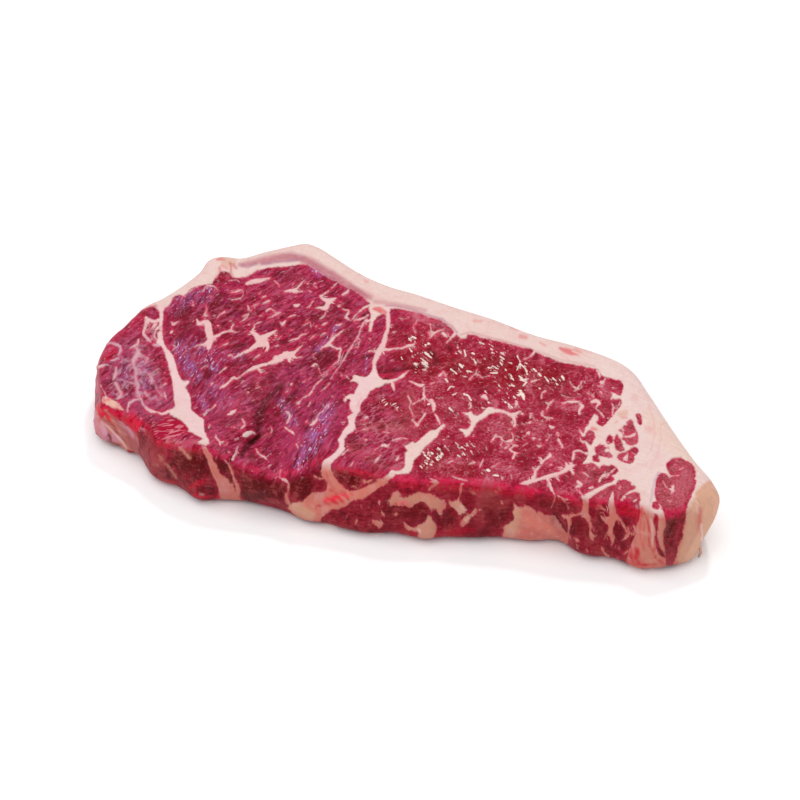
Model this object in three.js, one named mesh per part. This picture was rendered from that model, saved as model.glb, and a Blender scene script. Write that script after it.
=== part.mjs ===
// A raw boneless sirloin steak lying on its cut face, one solid. Millimetres, +Z up.
// The lean edge faces -Y, the fat cap runs along the +Y side and the pointed fat tail is the corner at +X.
import * as THREE from "three";

// Driving sizes
const EDGE_RADIUS = 4; // rounding where the upper cut face turns over into the side
const FOOT_RADIUS = 5; // rounding where the side turns under to the lower cut face
const SIDE_BULGE = 0.9; // how far the side swells out half way down
const FACE_HEIGHT = 25.4; // level of the upper cut face away from its edge, a one-inch cut
const EDGE_PULL_ACROSS = 5; // how quickly the face leaves the height of the long edges
const EDGE_PULL_ALONG = 9; // the same for the two ends
const RELIEF_FADE = 9; // distance from the edge over which the relief of the face grows in

// Mesh steps
const STEPS_ALONG = 76;
const STEPS_ACROSS = 32;
const EDGE_STEPS = 3;
const SIDE_STEPS = 2;
const FOOT_STEPS = 3;
const CURVE_SAMPLES = 40; // points on one station gap when lengths are measured

// The outline, station by station: x, y and height of the upper edge, then x, y of the foot below it.
// Each line runs through the middle of its rounding.
const FRONT = [
  [-105, -34.5, 19.5, -106.5, -35.5],
  [-96, -38.5, 20, -98.5, -38.5],
  [-88.5, -41.5, 20, -90.5, -41],
  [-79, -48.5, 20, -81.5, -50.5],
  [-70.5, -52, 21.5, -73, -52.5],
  [-61.5, -53, 24.5, -63.5, -57],
  [-55, -54.5, 23, -56.5, -55],
  [-48, -55.5, 21, -49.5, -54],
  [-40.5, -56.5, 18.5, -41.5, -54.5],
  [-33.5, -56.5, 18.5, -33.5, -55.5],
  [-26.5, -56, 22, -25.5, -58],
  [-20, -53.5, 25, -19, -58],
  [-11.5, -53, 26, -10.5, -59],
  [-2.5, -53.5, 26, -1.5, -59],
  [5.5, -54, 26, 6.5, -57],
  [14.5, -52.5, 26, 15.5, -57.5],
  [22.5, -50.5, 26, 24.5, -55],
  [31, -50, 26, 32.5, -53.5],
  [41, -49, 26, 42.5, -51],
  [51.5, -48.5, 26, 53, -50],
  [60, -49, 25.5, 62, -48],
  [68.5, -49, 25.5, 70.5, -52.5],
  [78.5, -48, 25.5, 81.5, -52],
  [88, -48, 25.5, 90.5, -54.5],
  [94, -50.5, 25.5, 96.5, -53],
  [98.5, -49, 25.5, 102, -50.5],
  [104, -45, 25.5, 107, -47],
  [109, -41.5, 25, 108.5, -42.5],
];
const RIGHT_END = [
  [112.5, -38, 24.5, 109, -37],
  [110, -31, 24, 108, -30],
  [103.5, -23, 24, 102, -22],
  [94, -9.5, 24, 94, -9],
  [83, 7.5, 24, 83.5, 8],
];
const FAT_CAP = [
  [77, 16, 24, 77.5, 16.5],
  [70.5, 20.5, 24, 71, 21.5],
  [55, 25, 24, 55.5, 26],
  [39.5, 27.5, 24, 40, 28.5],
  [23.5, 32.5, 24, 24, 33.5],
  [8, 36, 24, 8.5, 37],
  [-7.5, 40, 24, -7, 41],
  [-18, 42, 24, -17.5, 43],
  [-30, 46, 24.5, -29.5, 47],
  [-42.5, 53, 25, -42, 54],
  [-49.5, 57, 25, -49, 57.5],
  [-54, 58, 25, -54, 58.5],
  [-60, 55, 25, -60.5, 55.5],
  [-68.5, 51, 24, -69, 51.5],
  [-76.5, 45.5, 24, -77, 46],
  [-83, 45, 24, -83.5, 45],
];
const LEFT_END = [
  [-87.5, 42.5, 24, -88, 42.5],
  [-89, 35, 24, -90, 35],
  [-93.5, 25.5, 24, -94, 25],
  [-98.5, 17.5, 24, -99, 17],
  [-104, 12.5, 23, -104.5, 12],
  [-108, 1.5, 23, -108.5, 1],
  [-111.5, -5.5, 22, -111, -6],
  [-112.5, -11, 21, -112, -11.5],
  [-112, -17.5, 21, -111, -18],
  [-110.5, -22, 20, -111, -22.5],
  [-107.5, -29, 20, -109.5, -29.5],
];

// Swells and hollows of the upper face: x, y, radius, height.
const SWELLS = [
  [-98, -12, 13, 0.8],
  [-66, -8, 20, 0.9],
  [-28, -40, 12, 1.1],
  [-32, 18, 18, 0.7],
  [-42, -14, 10, -0.9],
  [8, 16, 9, -0.9],
  [30, -6, 20, 0.8],
  [14, -34, 14, 0.6],
  [62, -22, 18, 0.6],
  [98, -32, 9, 0.5],
];
// The open cleft between two muscle bundles near the lean edge: x, y, depth.
const CLEFT = [
  [-50, -47, 2.5],
  [-45.5, -41, 4.5],
  [-42, -32, 2.5],
  [-38, -20, 0.8],
];
const CLEFT_WIDTH = 3.2;
// Slow waves of the whole surface: length, direction in degrees, phase, height.
const WAVES = [
  [37, 17, 0.4, 0.18],
  [26, 71, 1.9, 0.16],
  [19, 128, 3.1, 0.12],
  [29, 154, 5.2, 0.12],
];

const COS45 = Math.SQRT1_2;
const FOOT_LINE_HEIGHT = FOOT_RADIUS * (1 - COS45);

const stations = [...FRONT, ...RIGHT_END, ...FAT_CAP, ...LEFT_END];
const corners = [0, FRONT.length, FRONT.length + RIGHT_END.length, stations.length - LEFT_END.length];
const edgeLine = new THREE.CatmullRomCurve3(
  stations.map(([x, y, height]) => new THREE.Vector3(x, y, height)),
  true,
  "centripetal",
);
const footLine = new THREE.CatmullRomCurve3(
  stations.map((row) => new THREE.Vector3(row[3], row[4], FOOT_LINE_HEIGHT)),
  true,
  "centripetal",
);

// Points at even spacing along one of the four sides, the last one left to the next side.
function pointsOfSide(side, steps) {
  const first = corners[side];
  const last = side === 3 ? stations.length : corners[side + 1];
  const count = (last - first) * CURVE_SAMPLES;
  const at = (k) => (first + ((last - first) * k) / count) / stations.length;
  const lengths = [0];
  let before = edgeLine.getPoint(at(0) % 1);
  for (let k = 1; k <= count; k++) {
    const point = edgeLine.getPoint(at(k) % 1);
    lengths.push(lengths[k - 1] + point.distanceTo(before));
    before = point;
  }
  const points = [];
  for (let i = 0; i < steps; i++) {
    const wanted = (lengths[count] * i) / steps;
    let k = 1;
    while (lengths[k] < wanted) k++;
    const t = at(k - 1 + (wanted - lengths[k - 1]) / (lengths[k] - lengths[k - 1])) % 1;
    points.push({ edge: edgeLine.getPoint(t), foot: footLine.getPoint(t) });
  }
  return points;
}

const sideSteps = [STEPS_ALONG, STEPS_ACROSS, STEPS_ALONG, STEPS_ACROSS];
const rim = sideSteps.flatMap((steps, side) => pointsOfSide(side, steps));

// The outward direction at each rim point, from its second neighbours so that corners turn softly.
rim.forEach((point, i) => {
  const after = rim[(i + 2) % rim.length].edge;
  const before = rim[(i + rim.length - 2) % rim.length].edge;
  point.out = new THREE.Vector3(after.y - before.y, before.x - after.x, 0).normalize();
});

// One row of the side: distance out of the edge and foot lines, height, and share of the way down.
function sideSection() {
  const rows = [];
  for (let k = 0; k <= EDGE_STEPS; k++) {
    const turn = (Math.PI / 2) * (k / EDGE_STEPS);
    rows.push({ out: EDGE_RADIUS * (Math.sin(turn) - COS45), rise: EDGE_RADIUS * (Math.cos(turn) - COS45), down: 0 });
  }
  for (let k = 1; k < SIDE_STEPS; k++) rows.push({ down: k / SIDE_STEPS });
  for (let k = 0; k <= FOOT_STEPS; k++) {
    const turn = (Math.PI / 2) * (k / FOOT_STEPS);
    rows.push({ out: FOOT_RADIUS * (Math.cos(turn) - COS45), rise: FOOT_RADIUS * (COS45 - Math.sin(turn)), down: 1 });
  }
  return rows;
}

function sidePoint(point, row) {
  const upper = point.edge.clone().addScaledVector(point.out, EDGE_RADIUS * (1 - COS45));
  upper.z -= EDGE_RADIUS * COS45;
  const lower = point.foot.clone().addScaledVector(point.out, FOOT_RADIUS * (1 - COS45));
  lower.z += FOOT_RADIUS * COS45;
  if (row.down > 0 && row.down < 1) {
    const bulge = SIDE_BULGE * Math.sin(Math.PI * row.down);
    return upper.lerp(lower, row.down).addScaledVector(point.out, bulge);
  }
  const line = row.down === 0 ? point.edge : point.foot;
  const place = line.clone().addScaledVector(point.out, row.out);
  place.z += row.rise;
  return place;
}

// A four-sided patch from its borders: each border is held exactly and blends away by pull(t).
function patch(u, v, south, east, north, west, pullAlong, pullAcross) {
  const cornersOut = [south[0], south[STEPS_ALONG], north[0], north[STEPS_ALONG]];
  const [w, e] = [pullAlong(u), pullAlong(1 - u)];
  const [s, n] = [pullAcross(v), pullAcross(1 - v)];
  const i = Math.round(u * STEPS_ALONG);
  const j = Math.round(v * STEPS_ACROSS);
  return (
    s * south[i] + n * north[i] + w * west[j] + e * east[j] -
    (w * s * cornersOut[0] + e * s * cornersOut[1] + w * n * cornersOut[2] + e * n * cornersOut[3])
  );
}

function swells(x, y) {
  return SWELLS.reduce(
    (sum, [sx, sy, radius, height]) => sum + height * Math.exp(-((x - sx) ** 2 + (y - sy) ** 2) / radius ** 2),
    0,
  );
}

function waves(x, y) {
  return WAVES.reduce((sum, [length, degrees, phase, height]) => {
    const angle = THREE.MathUtils.degToRad(degrees);
    const along = x * Math.cos(angle) + y * Math.sin(angle);
    return sum + height * Math.sin((2 * Math.PI * along) / length + phase);
  }, 0);
}

function cleft(x, y) {
  let deepest = 0;
  for (let k = 1; k < CLEFT.length; k++) {
    const [ax, ay, aDepth] = CLEFT[k - 1];
    const [bx, by, bDepth] = CLEFT[k];
    const along = ((x - ax) * (bx - ax) + (y - ay) * (by - ay)) / ((bx - ax) ** 2 + (by - ay) ** 2);
    const t = THREE.MathUtils.clamp(along, 0, 1);
    const gap = Math.hypot(x - ax - t * (bx - ax), y - ay - t * (by - ay));
    const depth = (aDepth + t * (bDepth - aDepth)) * Math.exp(-((gap / CLEFT_WIDTH) ** 2));
    deepest = Math.max(deepest, depth);
  }
  return -deepest;
}

function steakGeometry() {
  const section = sideSection();
  const borders = rim.map((point) => sidePoint(point, section[0]));
  const at = (start, step) => (k) => borders[(start + step * k + borders.length) % borders.length];
  const rightStart = STEPS_ALONG;
  const backStart = rightStart + STEPS_ACROSS;
  const leftStart = backStart + STEPS_ALONG;
  const span = (steps, get) => Array.from({ length: steps + 1 }, (_, k) => get(k));
  const south = span(STEPS_ALONG, at(0, 1));
  const east = span(STEPS_ACROSS, at(rightStart, 1));
  const north = span(STEPS_ALONG, at(leftStart, -1));
  const west = span(STEPS_ACROSS, at(leftStart + STEPS_ACROSS, -1));
  const part = (list, axis, offset = 0) => list.map((point) => point[axis] - offset);
  const straight = (t) => 1 - t;

  const positions = [];
  const indices = [];
  const faceVertex = new Map();
  const add = (x, y, z) => positions.push(x, y, z) / 3 - 1;

  // Upper cut face
  for (let j = 0; j <= STEPS_ACROSS; j++) {
    for (let i = 0; i <= STEPS_ALONG; i++) {
      const u = i / STEPS_ALONG;
      const v = j / STEPS_ACROSS;
      const [x, y] = ["x", "y"].map((axis) =>
        patch(u, v, part(south, axis), part(east, axis), part(north, axis), part(west, axis), straight, straight),
      );
      const edgeHeight = patch(
        u, v,
        part(south, "z", FACE_HEIGHT), part(east, "z", FACE_HEIGHT),
        part(north, "z", FACE_HEIGHT), part(west, "z", FACE_HEIGHT),
        (t) => (1 - t) ** EDGE_PULL_ALONG,
        (t) => (1 - t) ** EDGE_PULL_ACROSS,
      );
      const width = north[i].y - south[i].y;
      const length = east[j].x - west[j].x;
      const inside = Math.min(u * length, (1 - u) * length, v * width, (1 - v) * width);
      const grow = THREE.MathUtils.smoothstep(inside, 0, RELIEF_FADE);
      const relief = grow * (swells(x, y) + waves(x, y) + cleft(x, y));
      faceVertex.set(`${i},${j}`, add(x, y, FACE_HEIGHT + edgeHeight + relief));
    }
  }
  for (let j = 0; j < STEPS_ACROSS; j++) {
    for (let i = 0; i < STEPS_ALONG; i++) {
      const [a, b] = [faceVertex.get(`${i},${j}`), faceVertex.get(`${i + 1},${j}`)];
      const [c, d] = [faceVertex.get(`${i + 1},${j + 1}`), faceVertex.get(`${i},${j + 1}`)];
      indices.push(a, b, c, a, c, d);
    }
  }

  // Side, from the border of the upper face down to the foot
  let ring = rim.map((_, k) => {
    if (k < rightStart) return faceVertex.get(`${k},0`);
    if (k < backStart) return faceVertex.get(`${STEPS_ALONG},${k - rightStart}`);
    if (k < leftStart) return faceVertex.get(`${leftStart - k},${STEPS_ACROSS}`);
    return faceVertex.get(`0,${rim.length - k}`);
  });
  for (const row of section.slice(1)) {
    const next = rim.map((point) => add(...sidePoint(point, row).toArray()));
    ring.forEach((a, k) => {
      const after = (k + 1) % ring.length;
      indices.push(a, next[k], next[after], a, next[after], ring[after]);
    });
    ring = next;
  }

  // Lower cut face, flat on the surface the steak lies on
  const contour = ring.map((k) => new THREE.Vector2(positions[3 * k], positions[3 * k + 1]));
  for (const [a, b, c] of THREE.ShapeUtils.triangulateShape(contour, [])) indices.push(ring[a], ring[c], ring[b]);

  const geometry = new THREE.BufferGeometry();
  geometry.setAttribute("position", new THREE.Float32BufferAttribute(positions, 3));
  geometry.setIndex(indices);
  geometry.computeBoundingBox();
  const middle = geometry.boundingBox.getCenter(new THREE.Vector3());
  geometry.translate(-middle.x, -middle.y, -geometry.boundingBox.min.z);
  geometry.computeVertexNormals();
  return geometry;
}

const rawBeef = new THREE.MeshStandardMaterial({ color: 0x9c3348, roughness: 0.35, metalness: 0 });
const steak = new THREE.Mesh(steakGeometry(), rawBeef);
steak.name = "sirloin_steak";

const group = new THREE.Group();
group.add(steak);
export default group;
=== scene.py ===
"""The looks of a raw boneless sirloin steak: one piece of meat on a pale studio floor.

The steak is one closed mesh that follows the CAD solid and adds its fine relief. Its pattern of lean, fat,
seams and marbling is laid out in the pixels of the photograph, which the camera below matches, and goes
through the meat from the upper cut face to the lower one. The form is in millimetres until the mesh is made.
"""

import itertools
import math

import bpy
import numpy as np
from mathutils import Matrix


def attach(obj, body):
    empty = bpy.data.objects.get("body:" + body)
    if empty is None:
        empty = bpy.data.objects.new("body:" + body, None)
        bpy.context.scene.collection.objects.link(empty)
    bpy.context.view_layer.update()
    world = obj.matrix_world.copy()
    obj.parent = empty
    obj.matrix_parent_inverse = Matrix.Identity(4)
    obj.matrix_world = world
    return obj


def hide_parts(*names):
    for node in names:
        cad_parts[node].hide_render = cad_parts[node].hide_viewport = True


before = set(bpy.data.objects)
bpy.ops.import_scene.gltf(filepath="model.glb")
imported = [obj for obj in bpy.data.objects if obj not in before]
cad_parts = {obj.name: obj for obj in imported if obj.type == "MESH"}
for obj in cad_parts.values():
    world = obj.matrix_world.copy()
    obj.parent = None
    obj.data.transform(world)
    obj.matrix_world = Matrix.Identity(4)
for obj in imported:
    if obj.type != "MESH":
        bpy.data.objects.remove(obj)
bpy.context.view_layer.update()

# -------------------------------------------------------------------------------------------------------
# Camera: the photograph's, in metres
# -------------------------------------------------------------------------------------------------------
IMAGE_SIZE = 800
AZIMUTH = math.radians(12.5)
ELEVATION = math.radians(45)
DISTANCE = 0.70
FOCAL_PIXELS = 1943.2
TARGET = np.array([-0.001, -0.00575, 0.012])
TARGET_PIXEL = 405  # the target's column and row in the photograph
SENSOR_WIDTH = 36  # millimetres, the camera's own

BACK = np.array([
    math.sin(AZIMUTH) * math.cos(ELEVATION),
    -math.cos(AZIMUTH) * math.cos(ELEVATION),
    math.sin(ELEVATION),
])
RIGHT = np.array([math.cos(AZIMUTH), math.sin(AZIMUTH), 0.0])
UP = np.cross(BACK, RIGHT)
ASIDE = (TARGET_PIXEL - IMAGE_SIZE / 2) / FOCAL_PIXELS * DISTANCE
CAMERA_PLACE = TARGET + BACK * DISTANCE - RIGHT * ASIDE + UP * ASIDE


def photo_pixels(points):
    """Columns and rows of points, in metres, in the photograph."""
    seen = points - CAMERA_PLACE
    depth = -(seen @ BACK)
    columns = IMAGE_SIZE / 2 + FOCAL_PIXELS * (seen @ RIGHT) / depth
    rows = IMAGE_SIZE / 2 - FOCAL_PIXELS * (seen @ UP) / depth
    return np.stack([columns, rows], axis=-1)


# -------------------------------------------------------------------------------------------------------
# The form in millimetres, as in the CAD source
# -------------------------------------------------------------------------------------------------------
EDGE_RADIUS = 4  # rounding where the upper cut face turns over into the side
FOOT_RADIUS = 5  # rounding where the side turns under to the lower cut face
SIDE_BULGE = 0.9  # how far the side swells out half way down
FACE_HEIGHT = 25.4  # level of the upper cut face away from its edge
EDGE_PULL_ACROSS = 5  # how quickly the face leaves the height of the long edges
EDGE_PULL_ALONG = 9  # the same for the two ends
RELIEF_FADE = 9  # distance from the edge over which the relief of the face grows in

# x, y and height of the upper edge, then x, y of the foot below it
FRONT = [
    [-105, -34.5, 19.5, -106.5, -35.5],
    [-96, -38.5, 20, -98.5, -38.5],
    [-88.5, -41.5, 20, -90.5, -41],
    [-79, -48.5, 20, -81.5, -50.5],
    [-70.5, -52, 21.5, -73, -52.5],
    [-61.5, -53, 24.5, -63.5, -57],
    [-55, -54.5, 23, -56.5, -55],
    [-48, -55.5, 21, -49.5, -54],
    [-40.5, -56.5, 18.5, -41.5, -54.5],
    [-33.5, -56.5, 18.5, -33.5, -55.5],
    [-26.5, -56, 22, -25.5, -58],
    [-20, -53.5, 25, -19, -58],
    [-11.5, -53, 26, -10.5, -59],
    [-2.5, -53.5, 26, -1.5, -59],
    [5.5, -54, 26, 6.5, -57],
    [14.5, -52.5, 26, 15.5, -57.5],
    [22.5, -50.5, 26, 24.5, -55],
    [31, -50, 26, 32.5, -53.5],
    [41, -49, 26, 42.5, -51],
    [51.5, -48.5, 26, 53, -50],
    [60, -49, 25.5, 62, -48],
    [68.5, -49, 25.5, 70.5, -52.5],
    [78.5, -48, 25.5, 81.5, -52],
    [88, -48, 25.5, 90.5, -54.5],
    [94, -50.5, 25.5, 96.5, -53],
    [98.5, -49, 25.5, 102, -50.5],
    [104, -45, 25.5, 107, -47],
    [109, -41.5, 25, 108.5, -42.5],
]
RIGHT_END = [
    [112.5, -38, 24.5, 109, -37],
    [110, -31, 24, 108, -30],
    [103.5, -23, 24, 102, -22],
    [94, -9.5, 24, 94, -9],
    [83, 7.5, 24, 83.5, 8],
]
FAT_CAP = [
    [77, 16, 24, 77.5, 16.5],
    [70.5, 20.5, 24, 71, 21.5],
    [55, 25, 24, 55.5, 26],
    [39.5, 27.5, 24, 40, 28.5],
    [23.5, 32.5, 24, 24, 33.5],
    [8, 36, 24, 8.5, 37],
    [-7.5, 40, 24, -7, 41],
    [-18, 42, 24, -17.5, 43],
    [-30, 46, 24.5, -29.5, 47],
    [-42.5, 53, 25, -42, 54],
    [-49.5, 57, 25, -49, 57.5],
    [-54, 58, 25, -54, 58.5],
    [-60, 55, 25, -60.5, 55.5],
    [-68.5, 51, 24, -69, 51.5],
    [-76.5, 45.5, 24, -77, 46],
    [-83, 45, 24, -83.5, 45],
]
LEFT_END = [
    [-87.5, 42.5, 24, -88, 42.5],
    [-89, 35, 24, -90, 35],
    [-93.5, 25.5, 24, -94, 25],
    [-98.5, 17.5, 24, -99, 17],
    [-104, 12.5, 23, -104.5, 12],
    [-108, 1.5, 23, -108.5, 1],
    [-111.5, -5.5, 22, -111, -6],
    [-112.5, -11, 21, -112, -11.5],
    [-112, -17.5, 21, -111, -18],
    [-110.5, -22, 20, -111, -22.5],
    [-107.5, -29, 20, -109.5, -29.5],
]
# Swells and hollows of the upper face: x, y, radius, height
SWELLS = [
    [-98, -12, 13, 0.8],
    [-66, -8, 20, 0.9],
    [-28, -40, 12, 1.1],
    [-32, 18, 18, 0.7],
    [-42, -14, 10, -0.9],
    [8, 16, 9, -0.9],
    [30, -6, 20, 0.8],
    [14, -34, 14, 0.6],
    [62, -22, 18, 0.6],
    [98, -32, 9, 0.5],
]
# The open cleft between two muscle bundles near the lean edge: x, y, depth
CLEFT = [
    [-50, -47, 2.5],
    [-45.5, -41, 4.5],
    [-42, -32, 2.5],
    [-38, -20, 0.8],
]
CLEFT_WIDTH = 3.2
# Slow waves of the whole surface: length, direction in degrees, phase, height
WAVES = [
    [37, 17, 0.4, 0.18],
    [26, 71, 1.9, 0.16],
    [19, 128, 3.1, 0.12],
    [29, 154, 5.2, 0.12],
]

# The strand of fat that hangs from the right end: x, y, z and radius of each point of its line
FAT_STRAND = [
    [107.0, -43.2, 9.5, 0.7],
    [108.6, -43.6, 7, 0.5],
    [110, -43.5, 4, 0.35],
    [110.4, -43.9, 2, 0.25],
    [109.9, -44.4, 0.5, 0.1],
]
STRAND_SIDES = 8  # corners of each ring of the strand

# Mesh steps
STEPS_ALONG = 380
STEPS_ACROSS = 144
EDGE_STEPS = 5
SIDE_STEPS = 17
FOOT_STEPS = 5
CURVE_SAMPLES = 40  # points on one station gap when lengths are measured
TURN_REACH = 10  # neighbours this far along the rim give its outward direction
LOWER_INSET = 1.2  # how far inside the foot the coarser mesh of the lower face starts

COS45 = math.sqrt(0.5)
FOOT_LINE_HEIGHT = FOOT_RADIUS * (1 - COS45)


def smooth(low, high, value):
    """0 below low, 1 above high and an even S between them."""
    t = np.clip((value - low) / (high - low), 0, 1)
    return t * t * (3 - 2 * t)


def closed_curve(points, at):
    """The closed centripetal Catmull-Rom curve through points, at the station numbers given."""
    count = len(points)
    whole = np.floor(at).astype(int)
    p0, p1, p2, p3 = (points[(whole + k) % count] for k in (-1, 0, 1, 2))
    steps = (p1 - p0, p2 - p1, p3 - p2)
    gap0, gap1, gap2 = (np.sqrt(np.linalg.norm(step, axis=1))[:, None] for step in steps)
    slope1 = ((p1 - p0) / gap0 - (p2 - p0) / (gap0 + gap1) + (p2 - p1) / gap1) * gap1
    slope2 = ((p2 - p1) / gap1 - (p3 - p1) / (gap1 + gap2) + (p3 - p2) / gap2) * gap1
    t = (at - whole)[:, None]
    square = -3 * p1 + 3 * p2 - 2 * slope1 - slope2
    cube = 2 * p1 - 2 * p2 + slope1 + slope2
    return p1 + slope1 * t + square * t**2 + cube * t**3


def rim_lines():
    """Edge and foot points, evenly spaced along each of the four sides, with their outward directions."""
    rows = np.array(FRONT + RIGHT_END + FAT_CAP + LEFT_END, dtype=float)
    edge_line = rows[:, :3]
    foot_line = np.column_stack([rows[:, 3:], np.full(len(rows), FOOT_LINE_HEIGHT)])
    corners = np.cumsum([0, len(FRONT), len(RIGHT_END), len(FAT_CAP), len(LEFT_END)])
    stations = []
    for side, steps in enumerate((STEPS_ALONG, STEPS_ACROSS, STEPS_ALONG, STEPS_ACROSS)):
        first, last = corners[side], corners[side + 1]
        at = np.linspace(first, last, (last - first) * CURVE_SAMPLES + 1)
        points = closed_curve(edge_line, at)
        lengths = np.concatenate([[0], np.cumsum(np.linalg.norm(np.diff(points, axis=0), axis=1))])
        stations.append(np.interp(np.arange(steps) / steps * lengths[-1], lengths, at))
    at = np.concatenate(stations)
    edge = closed_curve(edge_line, at)
    foot = closed_curve(foot_line, at)
    along = np.roll(edge, -TURN_REACH, axis=0) - np.roll(edge, TURN_REACH, axis=0)
    out = np.column_stack([along[:, 1], -along[:, 0], np.zeros(len(along))])
    return edge, foot, out / np.linalg.norm(out, axis=1)[:, None]


def side_rows(edge, foot, out):
    """The rings of the side from the top down, each with its turn: 0 faces up, half pi out and pi down."""
    rings = []
    lift = np.array([0.0, 0.0, 1.0])
    for k in range(EDGE_STEPS + 1):
        turn = math.pi / 2 * k / EDGE_STEPS
        moved_out = out * (math.sin(turn) - COS45)
        moved_up = lift * (math.cos(turn) - COS45)
        rings.append((edge + EDGE_RADIUS * (moved_out + moved_up), turn))
    upper = edge + out * EDGE_RADIUS * (1 - COS45) - lift * EDGE_RADIUS * COS45
    lower = foot + out * FOOT_RADIUS * (1 - COS45) + lift * FOOT_RADIUS * COS45
    for k in range(1, SIDE_STEPS):
        down = k / SIDE_STEPS
        ring = upper + (lower - upper) * down + out * SIDE_BULGE * math.sin(math.pi * down)
        rings.append((ring, math.pi / 2))
    for k in range(FOOT_STEPS + 1):
        turn = math.pi / 2 * k / FOOT_STEPS
        moved_out = out * (math.cos(turn) - COS45)
        moved_up = lift * (COS45 - math.sin(turn))
        rings.append((foot + FOOT_RADIUS * (moved_out + moved_up), math.pi / 2 + turn))
    return rings


def patch(border, steps_along, steps_across, pull_along, pull_across):
    """A four-sided patch from its closed border: each side is held exactly and blends away by its pull."""
    south = border[: steps_along + 1]
    east = border[steps_along : steps_along + steps_across + 1]
    north = border[steps_along + steps_across : 2 * steps_along + steps_across + 1][::-1]
    west = np.concatenate([border[2 * steps_along + steps_across :], border[:1]])[::-1]
    u = np.linspace(0, 1, steps_along + 1)[None, :, None]
    v = np.linspace(0, 1, steps_across + 1)[:, None, None]
    w, e = (1 - u) ** pull_along, u**pull_along
    s, n = (1 - v) ** pull_across, v**pull_across
    sides = s * south[None] + n * north[None] + w * west[:, None] + e * east[:, None]
    corners = w * s * south[0] + e * s * south[-1] + w * n * north[0] + e * n * north[-1]
    return sides - corners


def relief(x, y):
    """Height of the swells, slow waves and the cleft of the upper face."""
    total = np.zeros_like(x)
    for sx, sy, radius, height in SWELLS:
        total += height * np.exp(-((x - sx) ** 2 + (y - sy) ** 2) / radius**2)
    for length, degrees, phase, height in WAVES:
        angle = math.radians(degrees)
        along = x * math.cos(angle) + y * math.sin(angle)
        total += height * np.sin(2 * math.pi * along / length + phase)
    deepest = np.zeros_like(x)
    for (ax, ay, a_depth), (bx, by, b_depth) in zip(CLEFT, CLEFT[1:]):
        dx, dy = bx - ax, by - ay
        t = np.clip(((x - ax) * dx + (y - ay) * dy) / (dx**2 + dy**2), 0, 1)
        gap = np.hypot(x - ax - t * dx, y - ay - t * dy)
        depth = a_depth + t * (b_depth - a_depth)
        deepest = np.maximum(deepest, depth * np.exp(-((gap / CLEFT_WIDTH) ** 2)))
    return total - deepest


def upper_face(border):
    """The upper cut face inside its border, with its relief, as rows of points."""
    level = patch(border, STEPS_ALONG, STEPS_ACROSS, 1, 1)
    drop = border - [0, 0, FACE_HEIGHT]
    edge_height = patch(drop, STEPS_ALONG, STEPS_ACROSS, EDGE_PULL_ALONG, EDGE_PULL_ACROSS)[..., 2]
    width = (level[-1, :, 1] - level[0, :, 1])[None, :]
    length = (level[:, -1, 0] - level[:, 0, 0])[:, None]
    u = np.linspace(0, 1, STEPS_ALONG + 1)[None, :]
    v = np.linspace(0, 1, STEPS_ACROSS + 1)[:, None]
    inside = np.minimum(np.minimum(u, 1 - u) * length, np.minimum(v, 1 - v) * width)
    grow = smooth(0, RELIEF_FADE, inside)
    level[..., 2] = FACE_HEIGHT + edge_height + grow * relief(level[..., 0], level[..., 1])
    return level


def centred(points):
    """The points in the part's frame, whose origin is the middle of the underside."""
    low, high = points.min(axis=0), points.max(axis=0)
    return points - [(low[0] + high[0]) / 2, (low[1] + high[1]) / 2, low[2]]


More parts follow.
